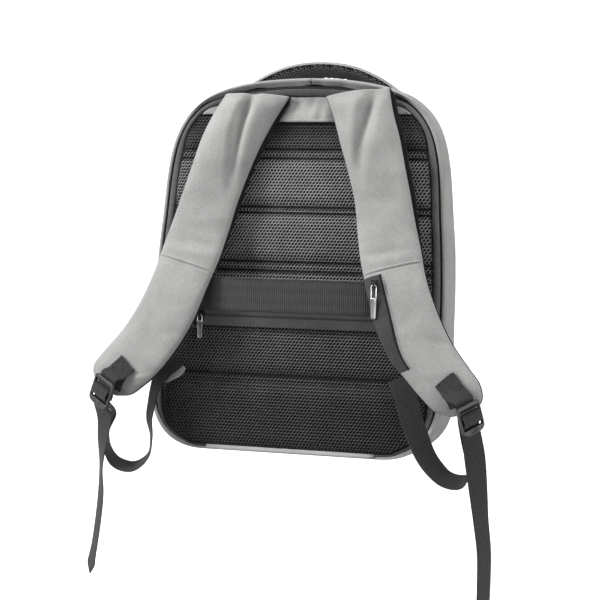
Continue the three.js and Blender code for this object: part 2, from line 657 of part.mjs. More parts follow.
// Webbing sewn on the strap's end and looped round the buckle's top bar
function anchorWebbing(strap, sideName, side) {
  const frame = buckleFrame(sideName, side);
  const { from, to, startV, endV } = ANCHORS[sideName];
  const sewn = spread(0, 1, ANCHOR.rows).map((share) => {
    const s = lerp(from, to, share);
    const v = lerp(startV, endV, share);
    const lift = lerp(ANCHOR.startLift, ANCHOR.endLift, share * share);
    return {
      point: strapPoint(strap, s, v, strapRise(strap, s, v) + lift),
      across: strap.outer.getPoint(s).sub(strap.inner.getPoint(s)).normalize(),
    };
  });
  const looped = ANCHOR_ROUTE.map((row) => inBuckle(frame, row));
  looped.forEach((row) => row.across.multiplyScalar(row.across.x * side > 0 ? 1 : -1));
  return ribbon(smoothRows([...sewn, ...looped], RIBBON_STEPS), WEBBING.width, WEBBING.thick);
}

// Tab between the panel and the first rows of the adjuster webbing
function lowerTab(webbingRows, sideName, side) {
  const { width, inward } = TABS[sideName];
  const behind = WEBBING.thick / 2 + SEAM_GAP + TAB.thick / 2;
  return ribbon(webbingRows.slice(0, TAB.rows), width, TAB.thick, -side * behind, -inward);
}

// Both halves of a route that is given from one end to the middle
function bothHalves(half) {
  const other = half.filter(({ x }) => x !== 0).reverse();
  return [...half, ...other.map((row) => ({ ...row, x: -row.x }))];
}

function luggageStrap() {
  const rows = bothHalves(LUGGAGE_ROUTE).map(({ x, out }) => ({
    point: atBack(x, LUGGAGE.middleZ, out),
    across: new THREE.Vector3(0, 0, 1),
  }));
  return ribbon(smoothRows(rows, LUGGAGE.steps), LUGGAGE.width, LUGGAGE.thick);
}

function pocketWelt() {
  const grid = (out) =>
    [WELT.low, WELT.high].map((z) =>
      spread(-WELT.half, WELT.half, WELT.steps).map((x) => atBack(x, z, out)),
    );
  return slab(grid(WELT.face), grid(WELT.face - WELT.thick));
}

function solid(geometry) {
  const bare = geometry.clone();
  bare.deleteAttribute('normal');
  bare.deleteAttribute('uv');
  const merged = mergeVertices(bare, WELD);
  return new wasm.Manifold(
    new wasm.Mesh({
      numProp: 3,
      vertProperties: new Float32Array(merged.attributes.position.array),
      triVerts: new Uint32Array(merged.index.array),
    }),
  );
}

function fromSolid(body) {
  const { vertProperties, triVerts } = body.getMesh();
  const geometry = new THREE.BufferGeometry();
  geometry.setAttribute('position', new THREE.BufferAttribute(vertProperties, 3));
  geometry.setIndex(new THREE.BufferAttribute(triVerts, 1));
  geometry.computeVertexNormals();
  return geometry;
}

// Slider body with a bail standing on it: local X across, Y out of the face, Z up, pivot height at Z 0
function zipSlider() {
  const { width, length, thick, bailWidth, bailHeight, bailWall } = SLIDER;
  const body = new THREE.BoxGeometry(width, thick, length).translate(0, thick / 2, 0);
  const side = new THREE.Shape();
  const base = thick / 2;
  side.moveTo(BAIL.low, base);
  side.lineTo(BAIL.low, thick + bailHeight - bailWall);
  side.quadraticCurveTo(BAIL.low, thick + bailHeight, BAIL.low + bailWall, thick + bailHeight);
  side.lineTo(BAIL.high - bailWall, thick + bailHeight);
  side.quadraticCurveTo(BAIL.high, thick + bailHeight, BAIL.high, thick + bailHeight - bailWall);
  side.lineTo(BAIL.high, base);
  side.lineTo(BAIL.high - bailWall, base);
  side.lineTo(BAIL.high - bailWall, thick + bailHeight - bailWall);
  side.lineTo(BAIL.low + bailWall, thick + bailHeight - bailWall);
  side.lineTo(BAIL.low + bailWall, base);
  side.closePath();
  const bail = new THREE.ExtrudeGeometry(side, { depth: bailWidth, bevelEnabled: false, curveSegments: 2 });
  bail.translate(0, 0, -bailWidth / 2).rotateY(-Math.PI / 2);
  return fromSolid(solid(body).add(solid(bail)));
}

// Flat pull with an eye at its top, hanging down from the pivot
function zipPull(length, eyeLength) {
  const { width, thick, bar, eyeWidth, taper, corner } = PULL;
  const half = width / 2;
  const shape = new THREE.Shape();
  shape.moveTo(half, bar - corner);
  shape.quadraticCurveTo(half, bar, half - corner, bar);
  shape.lineTo(corner - half, bar);
  shape.quadraticCurveTo(-half, bar, -half, bar - corner);
  shape.lineTo(taper - half, corner - length);
  shape.quadraticCurveTo(taper - half, -length, taper + corner - half, -length);
  shape.lineTo(half - taper - corner, -length);
  shape.quadraticCurveTo(half - taper, -length, half - taper, corner - length);
  shape.closePath();
  const eye = new THREE.Path();
  eye.moveTo(-eyeWidth / 2, -bar);
  eye.lineTo(eyeWidth / 2, -bar);
  eye.lineTo(eyeWidth / 2, -bar - eyeLength);
  eye.lineTo(-eyeWidth / 2, -bar - eyeLength);
  eye.closePath();
  shape.holes.push(eye);
  const plate = new THREE.ExtrudeGeometry(shape, { depth: thick, bevelEnabled: false, curveSegments: 2 });
  return plate.translate(0, 0, -thick / 2).rotateX(Math.PI / 2);
}

// A slider facing out from the leaning back, and its pull hung plumb through the bail
function addZipPull(sideName) {
  const { x, z, out, length, eyeLength } = PULLS[sideName];
  const slider = addPiece(`zip_slider_${sideName}`, zipSlider().rotateZ(Math.PI), 'nickel');
  slider.position.copy(atBack(x, z, out));
  slider.rotation.x = -LEAN;
  const pull = addPiece(`zip_pull_${sideName}`, zipPull(length, eyeLength), 'nickel');
  const pivot = SLIDER.thick + BAIL.pivotOut;
  pull.position.copy(slider.position);
  pull.position.y -= pivot * Math.cos(LEAN);
  pull.position.z += pivot * Math.sin(LEAN);
}

// Handle that arches over the top, its near edge higher than its far edge
function handleSheet(base, thick) {
  const across = new THREE.Vector3(0, Math.cos(HANDLE.tilt), -Math.sin(HANDLE.tilt));
  const rows = bothHalves(HANDLE_ROUTE).map(({ x, z }) => ({
    point: new THREE.Vector3(x, HANDLE.y, z),
    across: across.clone(),
  }));
  return ribbon(smoothRows(rows, HANDLE.steps), HANDLE.width, thick, base + thick / 2);
}

addPiece('shell', shell(), 'grey');
const tapeBack = ZIP_TAPE.front - ZIP_TAPE.thick;
const tapeProfile = flatProfile(ZIP_TAPE.front);
const bindingProfile = crownedProfile(BINDING);
const gussetEdges = [() => GUSSET.low, () => GUSSET.high];
addPiece('zip_tape', rimBand(zippedStretch, tapeStart, bindingEnd, tapeProfile, tapeBack), 'black');
addPiece(
  'panel_binding',
  rimBand(zippedStretch, bindingStart, bindingEnd, bindingProfile, BINDING.back),
  'greyDark',
);
addPiece('hinge_gusset', rimBand(gussetStretch, ...gussetEdges, crownedProfile(GUSSET), GUSSET.back), 'grey');
addPiece('back_panel', backPanel(), 'black');
addPiece('mesh_pad', meshPad(), 'mesh');
addPiece('yoke', yoke(), 'grey');
addPiece('luggage_strap', luggageStrap(), 'webbing');
addPiece('pocket_welt', pocketWelt(), 'black');

for (const [sideName, side] of [['left', -1], ['right', 1]]) {
  const strap = shoulderStrap(sideName, side);
  const cover = (s, v) => strapRise(strap, s, v);
  const lining = (share) => () => -STRAP.liningGap - STRAP.lining * share;
  addPiece(`shoulder_strap_${sideName}`, strapSheet(strap, STRAP_COLUMNS, cover, () => 0), 'grey');
  addPiece(`strap_lining_${sideName}`, strapSheet(strap, LINING_COLUMNS, lining(0), lining(1)), 'mesh');
  addPiece(`anchor_webbing_${sideName}`, anchorWebbing(strap, sideName, side), 'webbing');
  const frame = buckleFrame(sideName, side);
  const buckle = addPiece(`ladder_lock_${sideName}`, buckleGeometry(), 'plastic');
  const turned = new THREE.Matrix4().makeBasis(frame.across, frame.along, frame.face);
  buckle.quaternion.setFromRotationMatrix(turned);
  buckle.position.copy(frame.centre);
  const webbing = adjusterRows(sideName, side);
  addPiece(`adjuster_webbing_${sideName}`, ribbon(webbing, WEBBING.width, WEBBING.thick), 'webbing');
  addPiece(`lower_tab_${sideName}`, lowerTab(webbing, sideName, side), 'grey');
  addZipPull(sideName);
}

addPiece('strap_zip_band', strapZipBand(shoulderStrap('right', 1)), 'black');
addPiece('handle_lining', handleSheet(0, HANDLE.lining), 'mesh');
addPiece('handle_cover', handleSheet(HANDLE.lining + SEAM_GAP, HANDLE.cover), 'grey');

export default bag;
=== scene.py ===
"""Looks of the backpack: cloth, air mesh, webbing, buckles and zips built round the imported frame."""

import math

import bmesh
import bpy
import numpy as np
from mathutils import Matrix, Vector
from mathutils.noise import noise


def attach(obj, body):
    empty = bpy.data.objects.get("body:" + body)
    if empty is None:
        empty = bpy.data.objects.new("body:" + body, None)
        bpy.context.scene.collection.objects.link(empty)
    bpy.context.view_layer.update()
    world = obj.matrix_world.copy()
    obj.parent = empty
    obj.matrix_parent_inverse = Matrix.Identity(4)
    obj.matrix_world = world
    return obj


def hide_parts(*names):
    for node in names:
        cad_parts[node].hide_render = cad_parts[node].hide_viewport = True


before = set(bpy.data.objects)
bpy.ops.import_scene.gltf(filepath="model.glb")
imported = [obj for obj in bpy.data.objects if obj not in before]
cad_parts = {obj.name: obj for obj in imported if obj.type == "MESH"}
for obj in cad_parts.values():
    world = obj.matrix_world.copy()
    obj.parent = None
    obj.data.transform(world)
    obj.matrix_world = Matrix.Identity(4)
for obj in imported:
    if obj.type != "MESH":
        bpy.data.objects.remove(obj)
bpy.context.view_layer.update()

MM = 0.001
BODY = "bag"
UV_NAME = "Cloth"
OUT = [0, -1, 0.1]

# Main sizes, in millimetres as in the solids
HEIGHT = 420
BACK_Y = -75
FRONT_Y = 75
LEAN = math.tan(math.radians(6.5))
WALL = 2.6
SEAM_GAP = 0.4

# Camera of the photograph, with its angles in degrees and lengths in millimetres
CAMERA = {"yaw": 16, "pitch": 4, "roll": 0.9, "distance": 1690, "target": (3, -51, 171.5)}
LENS = {"lens": 90, "sensor_width": 36}

# Rim outline: the flat base, then curves as (leave, arrive, end)
BASE_HALF = 103
RIM_CURVES = [
    ((140, 0), (165, 21), (168, 60)),
    ((171.5, 125), (171, 200), (165, 262)),
    ((161, 320), (162, 369), (121, 397)),
    ((96, 414), (45, 420), (0, 420)),
]
CURVE_STEPS = (26, 26, 26, 100)

# Shell rings: share of the depth, share of the rim's width, lowest and highest z, extra width low down
SHELL_RINGS = [
    (0.0, 1.0, 0, 420, 0),
    (0.1, 1.006, 0, 422, 0.012),
    (0.28, 1.008, 0, 421, 0.03),
    (0.5, 0.995, 0, 415, 0.036),
    (0.7, 0.962, 0, 404, 0.03),
    (0.84, 0.905, 3, 387, 0.02),
    (0.93, 0.81, 14, 361, 0.01),
    (0.98, 0.66, 42, 320, 0),
    (1.0, 0.41, 98, 258, 0),
    (1.008, 0.16, 150, 210, 0),
]
# Places of the rings along that list, the closing of the front, and where the cloth is free to ripple
SHELL_SHARES = np.concatenate([np.linspace(0, 0.11, 16)[1:], np.linspace(0.125, 1, 40)])
SHELL_CLOSING = (0.75, 0.5, 0.25, 0.08, 0.003)
SHELL_FREE = {"depth": (0.05, 0.25), "z": (2, 40)}
SAG_TOP = 150
MIDDLE_Z = 190
CREASE = {"depth": 0.026, "width": 0.009, "sunk": 1.4}

# Hem rows on the face and the back: share of its width, extra inset, height out and share of its turn
HEM_FACE = [
    (1, 0, -0.7, 1), (1, -0.35, 0.2, 1), (0.75, 0, 0.4, 0.8), (0.5, 0, 0.5, 0.5), (0.3, 0, 0.4, 0.1),
    (0, 0.7, 0.1, 0), (0, 0.15, -0.9, 0),
]
HEM_BACK = [
    (1, 0, -2.2, 1), (1, -0.7, -2.6, 1), (0.75, 0, -3.4, 1), (0.6, 0, -3.6, 1), (0.4, 1, -3.6, 0),
    (0, WALL + SEAM_GAP, -3.4, 0), (0, WALL + 0.2, -4, 0),
]
HEM_OUT = 1.2
# Heights between which puckers grow towards the top, and their waves as turn per millimetre, phase and size
TOP_BLEND = (375, 412)
HEM_WAVES = [(0.09, 0.6, 0.9), (0.23, 1, 0.5)]
EDGE_WAVES = [(0.075, 0.4, 0.9), (0.19, 0, 0.6)]
BINDING_WAVES = [(0.16, 0, 0.5)]
HEM_TOP = {"turned": 4.2, "drawn": 1.4, "tuck": 3.4, "tuck_x": 5.5, "tuck_width": 1.2}

# Uneven cloth as hills: size, height, seed of the noise and scale of z
RIPPLES = {
    "shell": [(95, 1.6, 0, 1), (38, 0.9, 2.3, 0.45)],
    "yoke": [(24, 1.6, 3.0, 1), (8, 1.8, 7.0, 0.4), (5, 0.3, 9.0, 1)],
    "strap": [(34, 1.1, 1.7, 1), (13, 0.35, 5.1, 1)],
    "welt": [(30, 0.35, 0, 1)],
}

# Bands round the rim, measured inwards, and the heights over which one blends into the next
RIM_BANDS = {
    "base": {"hem": 3.2, "slit": 0.4, "binding": 2.2},
    "corner": {"hem": 5.2, "slit": 0.6, "binding": 3.4},
    "side": {"hem": 4, "slit": 2, "binding": 8},
    "shoulder": {"hem": 4, "slit": 1.6, "binding": 5.5},
    "top": {"hem": 8.5, "slit": 2, "binding": 9},
}
BAND_BLENDS = [("corner", 0, 5), ("side", 14, 60), ("shoulder", 330, 375), ("top", 392, HEIGHT)]
GUSSET = {"half": 98, "low": 0.4, "high": 6.2}

# Faces of the rim's bands, as shares across and heights out of the rim's plane, and their backs' heights
BINDING_FACE = [
    (0.0, 0.2), (0.04, 1.2), (0.14, 2.2), (0.32, 2.8), (0.55, 2.9), (0.8, 2.5), (0.93, 1.6), (1.0, 0.4),
]
GUSSET_FACE = [(0.0, 1.8), (0.06, 2.8), (0.2, 3.7), (0.45, 4.1), (0.7, 3.9), (0.9, 3.1), (1.0, 2.0)]
TAPE_FACE = [(0, -2.8), (0.5, -2.7), (1, -2.8)]
BAND_BACKS = {"binding": -2.4, "gusset": 1.6, "tape": -4.4}
COIL = {"low": 25, "out": -2.3}

# Back panel, its mesh pad and the yoke above it
PAD = {"border": 0.4, "low": 7, "high": 370, "crown": 10, "groove": 4.6, "edge": 2.5}
PAD_CORE = {"under": 0.9, "base": 0.3, "bends": 300}
PAD_SEAMS = [83.5 + 63 * i for i in range(5)]
# Distances over which the pad falls away beside a seam, at its edge and under the yoke
PAD_FALLS = {"seam": (3.5, 17), "edge": (-1, 14), "yoke": (8, 29)}
# The two threads of a seam: their place, and the width, depth and bare strip of the tuck they make
TUCK = {"place": 4.4, "width": 1.3, "depth": 1.6, "bare": 1.2}
PANEL_ROWS = [(1.0, -0.9), (0.985, -0.25), (0.95, 0), (0.8, 0), (0.5, 0), (0.15, 0)]
PANEL_BACK = -3.0
YOKE = {"low": 371.5, "rise": 9, "thick": 2, "base": 0.3, "margin": 0.5, "lip": 5.5, "crowd": 1.6}
YOKE_FALLS = {"rise": (0.4, 0.85), "lip": (3, 24), "sides": (24, 44), "dents": (0, 5)}

# Air mesh: distance between holes and between their rows, slant of the rows, then size and slant of a hole
NET = {"pitch": (3.9, 3.42), "skew": 0.08, "hole": 0.8, "lean": 0.38, "rise": 0.5, "funnel": 0.86}
# Corners of neighbouring holes are one point when they agree to this share of a millimetre
SHARED_STEPS = 50

# Shoulder strap edges: outer x, z, out, then inner x, z, out
STRAP_EDGES = {
    "left": [
        (91, 403, 8.5, 16, 399.5, 8.5),
        (102.5, 382, 12, 30, 375, 12),
        (113.5, 352, 21, 44, 344, 19),
        (121, 322, 28, 56.5, 312, 21),
        (129, 292, 31.5, 66, 281, 25),
        (138, 262, 32, 73.5, 248, 30),
        (147, 232, 34, 80.5, 216, 38.5),
        (154.5, 202, 40, 91, 184, 45.5),
        (168.5, 166, 45, 104, 148, 48.5),
        (186, 136, 48, 121.5, 116, 51),
        (206.5, 110, 52, 141.5, 89, 55),
        (217, 94, 54, 158, 74, 56),
        (214, 80, 55, 172, 64, 56),
        (204, 69, 55.5, 188, 62, 56),
    ],
    "right": [
        (98.5, 409, 9, 26.5, 399.5, 8),
        (104.5, 383, 12, 36.5, 378, 12),
        (115.5, 353, 21, 48.5, 346, 19),
        (124, 323, 28, 60, 314, 21),
        (132, 293, 31.5, 70, 281, 25),
        (139, 262, 32, 75.5, 248, 30),
        (147, 232, 34, 82.5, 216, 38.5),
        (155, 202, 40, 93, 185, 45.5),
        (169.5, 167, 45, 105, 149, 48.5),
        (186.5, 136, 48, 122.5, 116, 51),
        (207, 110, 52, 145, 91, 55),
        (219.5, 94, 54, 161, 75, 56),
        (222.5, 78, 55, 174, 64, 56),
        (213, 64, 55.5, 190, 59, 56),
    ],
}
STRAP = {"edge": 3.5, "crown": 11, "sewn": 5, "end": 6, "lining": 4, "gap": 0.3}
STRAP_BLENDS = {"sewn": (0, 0.2), "end": (0.85, 1), "fold": (0, 0.06)}
# Folds at a strap's top end, and the valley between them: its place across and its drift inwards
STRAP_FOLD = {"height": 16, "width": {"left": 0.09, "right": 0.13}, "start": 0.45, "fade": (0.1, 0.34)}
STRAP_VALLEYS = {"left": (0.56, 1.4), "right": (0.84, 2.7)}
STRAP_SEAM = {"s": 0.4975, "step": 0.8, "groove": 0.7, "lap": 0.08, "edge": (-0.0005, 0.0015), "sunk": 0.0025}
SEAM_THREAD = {"back": 0.0035, "from": 0.06, "to": 0.95}
SEAM_SHARES = STRAP_SEAM["s"] + np.linspace(-0.009, 0.012, 22)
STRAP_SHARES = np.unique(np.concatenate([np.linspace(0, 1, 120), SEAM_SHARES]))
STRAP_COLUMNS = np.array([0, 0.012, 0.035, 0.07, *np.linspace(0.12, 0.88, 21), 0.93, 0.965, 0.988, 1])
STRAP_FREE = {"across": (0, 0.12), "along": (0, 0.05)}
# Power by which seams and folds fade at a strap's edges
RELIEF_EDGE = 0.3
# Cover under the sewn webbing: where it begins to flatten, how far across, and how deep it is pressed
PRESSED = {"lead": 0.025, "across": (0.22, 0.36), "depth": 0.5}
STRAP_ZIP = {"from": 0.515, "taper": 0.58, "to": 0.735, "near": -0.01, "far": 0.27, "end": 0.15}
# Flap of the strap's pocket: shares across with their puff, and the places where it holds the cover smooth
FLAP_FACE = [
    (0, 0), (0.025, 0.5), (1 / 12, 0.9), (0.25, 1.2), (0.5, 1.3), (0.75, 1.2), (11.2 / 12, 0.9), (1, 0.2),
]
FLAP_LIFT = {"face": 1.0, "back": -0.4, "clear": 0.3}
FLAP_HOLD = {"start": (-0.03, -0.01), "end": (0, 0.02), "across": (0.34, 0.44)}
SLIT = {"across": np.array([-0.02, 0.01, 0.035]), "face": 0.35, "back": -0.3, "thread": 0.065}

# Strap lining: how far its dark edge shows past the inner and the outer edge of a strap's upper half, partly
# the lining's own side and partly painted shadow beside the strap, and its shape
LINING_AND_SHADOW_PEEK = {"left": (0.045, 0.0), "right": (0.0, 0.06)}
LINING_COLUMNS = np.concatenate([[-0.012, 0.0], np.linspace(0.04, 0.96, 9), [1.0, 1.012]])
LINING_AND_SHADOW_PEEKS = {"begin": (0.0, 0.03), "end": (0.3, 0.5), "edge": (0.46, 0.51)}
LINING = {"round": 2.4, "sharp": 6, "hem": 2, "ends": 3, "net": 0.7}

# Soft folds in the straps' covers: place along, slant across, width, height, middle and reach across
STRAP_FOLDS = {
    "left": [
        (0.44, 0.01, 0.012, -2.0, 0.45, 0.5), (0.468, 0.01, 0.011, 1.7, 0.5, 0.6),
        (0.33, -0.04, 0.018, -1.8, 0.3, 0.3), (0.37, 0.05, 0.014, 1.2, 0.35, 0.3),
        (0.66, 0.08, 0.013, -1.0, 0.2, 0.25), (0.8, 0.1, 0.009, -1.9, 0.24, 0.14),
        (0.822, 0.1, 0.009, 1.7, 0.22, 0.14), (0.845, 0.12, 0.008, -1.6, 0.2, 0.12),
        (0.9, -0.04, 0.014, 0.8, 0.2, 0.3),
    ],
    "right": [
        (0.475, 0.01, 0.012, 1.6, 0.5, 0.6), (0.452, 0.015, 0.009, -1.7, 0.4, 0.5),
        (0.31, 0.03, 0.015, -1.6, 0.3, 0.4), (0.63, -0.04, 0.013, -1.2, 0.4, 0.3),
        (0.69, 0.05, 0.01, -1.5, 0.85, 0.15), (0.86, 0.06, 0.013, 0.8, 0.85, 0.2),
    ],
}

# Webbing: its columns across, and how its selvedges thin out, its crown fades and its edges hang
WEBBING = {"width": 25, "thick": 1.6}
ROUTE_STEPS = 8
RIBBON_COLUMNS = np.array([-0.5, -0.485, -0.44, -0.3, -0.1, 0.1, 0.3, 0.44, 0.485, 0.5])
SELVEDGE = {"thin": 0.55, "sharp": 14, "crown": 3, "hang": 30}
# A stitch as rings: place along, width and rise
STITCH_SHAPE = [(-0.5, 0.25, -0.7), (-0.32, 1.0, 0.2), (0.0, 1.1, 0.7), (0.32, 1.0, 0.2), (0.5, 0.25, -0.7)]
STITCH_SIDES = 6

# Buckles, and the routes of webbing in them as places along and out
BUCKLES = {
    "left": {"x": 198.5, "z": 67.5, "out": 75, "heading": 24, "roll": 24},
    "right": {"x": 215, "z": 60.5, "out": 74, "heading": 50, "roll": 19},
}
BUCKLE_ROUTE = [
    (-8, -7.4), (1, -6.4), (6, -4.6), (7.8, -1), (6.4, 2.4), (3, 4.2), (-1, 4.2), (-4.2, 2), (-6, -1.4),
    (-8.6, -4), (-15, -4.8),
]
BUCKLE_RIDGES = [(-10.6, 1.9), (-12.4, 1.9), (-14.2, 1.9)]
ANCHOR_ROUTE = [(21, -3.9), (17, -3.6), (13.8, -3.4), (11.4, -2.2), (10.6, 0.4)]
# Webbing sewn on the straps' ends: heights over the cover, then places along and across each strap
ANCHOR = {"start": 1.5, "end": 5.4, "rows": 4, "return": 0.935, "lead": 0.012, "face": 0.7, "back": -0.6}
ANCHORS = {
    "left": {"from": 0.775, "to": 0.83, "start_v": 0.45, "end_v": 0.47},
    "right": {"from": 0.791, "to": 0.85, "start_v": 0.55, "end_v": 0.56},
}
# Adjuster webbing: side distance, z, out, heading and tilt of the width
LOOPS = {
    "left": [
        (136, 101, 13, 14, 34), (147, 87, 20, 34, 20), (153, 71, 27, 48, 10), (155, 52, 32, 51, 4),
        (154, 36, 38, 55, 2), (149, 17, 43, 64, 0), (150, -3, 48, 70, 8), (165, -15.5, 52, 76, 18),
        (185, -11.5, 53.5, 82, 18), (197, 5, 53, 82, 3), (195.5, 27, 55, 64, 0), (190.5, 46, 58.5, 50, 2),
    ],
    "right": [
        (124, 92, 13.6, 12, 26), (134, 74, 21, 26, 18), (143, 53, 31, 28, 16), (152, 35, 37, 34, 15),
        (162, 17, 43, 42, 16), (173, 4, 47, 62, 30), (188, -7, 50, 80, 32), (205, -8, 52, 88, 28),
        (215, 5, 54, 78, 14), (213, 30, 57, 60, 3),
    ],
}
TAILS = {
    "left": [
        (198, 39, 64, 28, 0), (198.5, 13, 65, 43, -2), (200, -18, 61.5, 60, -3),
        (199.5, -44, 59.5, 54, 0), (201.5, -73, 58, 53, -2), (205, -104, 57, 53, -2),
        (208, -124, 56.5, 48, -1), (209, -136, 56, 42, 0),
    ],
    "right": [
        (216, 38, 64, 46, 2), (219, 19, 62, 38, -4), (223.5, -14, 60, 49, -2), (227.5, -45, 59, 60, -2),
        (232, -78, 58, 64, -3), (233, -116, 57, 66, -3), (233, -148, 56, 67, -2),
    ],
}
TAIL_TIPS = {"left": 11, "right": 0}
TAB = {"thick": 1.8, "share": 1.67}
TABS = {"left": {"width": 30, "inward": 5.5}, "right": {"width": 23, "inward": 0}}

# Luggage strap and pocket welt
LUGGAGE = {"width": 38, "thick": 1.8, "z": 178}
LUGGAGE_ROUTE = [(132, 11.6), (119, 12.4), (109, 16), (101, 28), (91, 34.5), (72, 36.4), (36, 36.9), (0, 37)]
WELT = {"half": 114, "zip": 152, "face": 10.8, "thick": 2, "coil": -0.7}
WELT_FACE = [
    (140.5, -1.4), (140.9, -0.3), (142.5, 0.0), (145.5, 0.1), (149.6, 0.0), (151.1, -0.3), (152, -1.2),
    (152.9, -0.3), (154.4, 0.0), (156.5, 0.0), (158.1, -0.3), (158.5, -1.4),
]

# Zip pulls: pivot as x, z and out, then the lengths of the pull and of its wire loop
PULLS = {"left": (-108.5, 152, 11.1, 26.5, 7.4), "right": (103, 194.5, 58, 36, 14.6)}
PULL = {"half": 3.2, "thick": 1.8, "taper": 0.5, "wire": 0.55, "pivot": 4.5, "collar": 0.8}
# Face of a pull's bar across, then its lower end as height above the tip and narrowing
PULL_FACE = [(0.3, 0.55), (0.68, 0.62), (0.8, 1.0), (0.94, 0.85), (1, 0.3)]
PULL_TIP = [(4, 0.0), (1, 0.0), (0.4, 0.25), (0, 0.8)]

# Handle, from its left end to the middle
HANDLE = {"y": 40, "width": 28, "cover": 2.6, "lining": 5, "tilt": math.radians(20)}
HANDLE_ROUTE = [(-94, 398.4), (-88.5, 402), (-79, 408.6), (-65, 417), (-44, 426), (-18, 431.5)]

# Studio: lamps by place in metres, size and power, light of the world below and above, and the floor
LIGHTS = [
    ("key", (-1.8, -1.35, 1.5), 0.7, 69),
    ("fill", (2.2, -0.7, 0.4), 1.4, 31),
    ("top", (0.1, -0.2, 1.9), 1.6, 23),
    ("low", (-1.5, -1.5, 0.05), 0.8, 17),
]
AIM = Vector((0, 0, 0.2))
WORLD = {"From_Min": -0.5, "From_Max": 0.6, "To_Min": 0.27, "To_Max": 0.36}
FLOOR = {"z": -0.175, "half": 5, "front": -4.0, "bend": 1.2, "top": 4.0, "glow": 0.55}

# Painted light and shade that scale a tone, as height or side distance in millimetres and share
# Painted shade on the air mesh: darker towards the bottom, and a painted shadow under the yoke's lip at the
# top
NET_PAINTED_SHADE = [
    (10, 0.18), (50, 0.2), (120, 0.4), (210, 0.75), (290, 0.95), (328, 1.0), (338, 0.62), (348, 0.38),
    (362, 0.26),
]
# Painted shade on the air mesh beside the straps, towards its left and right sides
NET_PAINTED_SIDE_SHADE = [(-160, 0.8), (-115, 0.95), (-90, 1.0), (95, 1.0), (122, 0.75), (160, 0.6)]
# Painted shade on the binding tape over the top of the rim
TAPE_PAINTED_SHADE = [(10, 1.0), (380, 1.0), (400, 0.55)]
# Painted light on the hem and gusset low down, and painted shade on the hem over the top
HEM_PAINTED_LIGHT_AND_SHADE = [(5, 1.4), (60, 1.3), (130, 1.0), (375, 1.0), (402, 0.68)]
SIDE_REACH = 170
# Sizes of patches in cloth in metres, and the ends of the tones' ramps
CLOTH_PATCHES = (0.0016, 0.03)
CLOTH_RAMP = (0.36, 0.64)
WEBBING_RAMP = (0.3, 0.7)


def smooth(x, low, high):
    t = np.clip((x - low) / (high - low), 0, 1)
    return t * t * (3 - 2 * t)


def mix(a, b, t):
    return a + (b - a) * t


def bump(x, width):
    return np.exp(-((x / width) ** 2))


def between(x, rise, fall):
    """Share that grows over one range and fades over another."""
    return smooth(x, *rise) * (1 - smooth(x, *fall))


def wavy(x, waves):
    return sum(np.sin(x * turn + phase) * size for turn, phase, size in waves)


def at_back(x, z, out):
    """A point on the leaning back of the bag, a distance out towards the wearer, in millimetres."""
    return np.stack(np.broadcast_arrays(x, BACK_Y + z * LEAN - out, z), axis=-1).astype(float)


def facing_out(points):
    """A route on the bag's back, with its normals."""
    return points, np.tile(OUT, (len(points), 1))


def unit(v):
    return v / np.maximum(np.linalg.norm(v, axis=-1, keepdims=True), 1e-9)


def spline(points, t):
    """Point of a centripetal curve through the given points, at a share of their number."""
    points = np.asarray(points, float)
    last = len(points) - 1
    place = min(max(t, 0), 1) * last
    i = min(int(place), last - 1)
    w = place - i
    b, c = points[i], points[i + 1]
    a = points[i - 1] if i > 0 else 2 * b - c
    d = points[i + 2] if i + 2 <= last else 2 * c - b
    gaps = [max(np.linalg.norm(q - p) ** 0.5, 1e-4) for p, q in ((a, b), (b, c), (c, d))]
    g0, g1, g2 = gaps
    t1 = ((b - a) / g0 - (c - a) / (g0 + g1) + (c - b) / g1) * g1
    t2 = ((c - b) / g1 - (d - b) / (g1 + g2) + (d - c) / g2) * g1
    return b + t1 * w + (3 * (c - b) - 2 * t1 - t2) * w**2 + (2 * (b - c) + t1 + t2) * w**3


def ripples(points, kind, side=1):
    """Smooth uneven heights at points, summed over the hills of a kind of cloth."""
    points = np.asarray(points)
    total = 0
    for size, height, seed, tall in RIPPLES[kind]:
        flat = (points * [1, 1, tall]).reshape(-1, 3) / size + seed * side
        total = total + np.array([noise(Vector(p)) for p in flat]).reshape(points.shape[:-1]) * height
    return total


def both_halves(half):
    """A route given from one end to the middle, and its mirror image after it."""
    half = np.array(half, float)
    return np.concatenate([half, (half[half[:, 0] != 0] * [-1, 1])[::-1]])


# Materials
def new_material(name):
    material = bpy.data.materials.new(name)
    material.use_nodes = True
    tree = material.node_tree
    return material, tree, tree.nodes["Principled BSDF"]


def fill_socket(tree, socket, value):
    if isinstance(value, bpy.types.NodeSocket):
        tree.links.new(value, socket)
    else:
        socket.default_value = value


def fill(tree, node, **sockets):
    for key, value in sockets.items():
        fill_socket(tree, node.inputs[key.replace("_", " ")], value)
    return node


def add_node(tree, kind, **sockets):
    return fill(tree, tree.nodes.new("ShaderNode" + kind), **sockets)


def operate(tree, kind, operation, *values):
    """Output of a node that works on its inputs in order."""
    node = add_node(tree, kind)
    node.operation = operation
    for socket, value in zip(node.inputs, values):
        fill_socket(tree, socket, value)
    return node.outputs[0]


def blend(tree, a, b, share):
    """A share of one value and the rest of another."""
    parts = [operate(tree, "Math", "MULTIPLY", *pair) for pair in ((a, share), (b, 1 - share))]
    return operate(tree, "Math", "ADD", *parts)


def object_place(tree):
    return add_node(tree, "TexCoord").outputs["Object"]


def speckle(tree, scale, **sockets):
    """Uneven specks, about so many to a metre."""
    sockets = {"Vector": object_place(tree), "Scale": scale, "Detail": 2.0, **sockets}
    return add_node(tree, "TexNoise", **sockets).outputs["Fac"]


def relief(tree, height, strength, distance):
    return add_node(tree, "Bump", Height=height, Strength=strength, Distance=distance).outputs["Normal"]


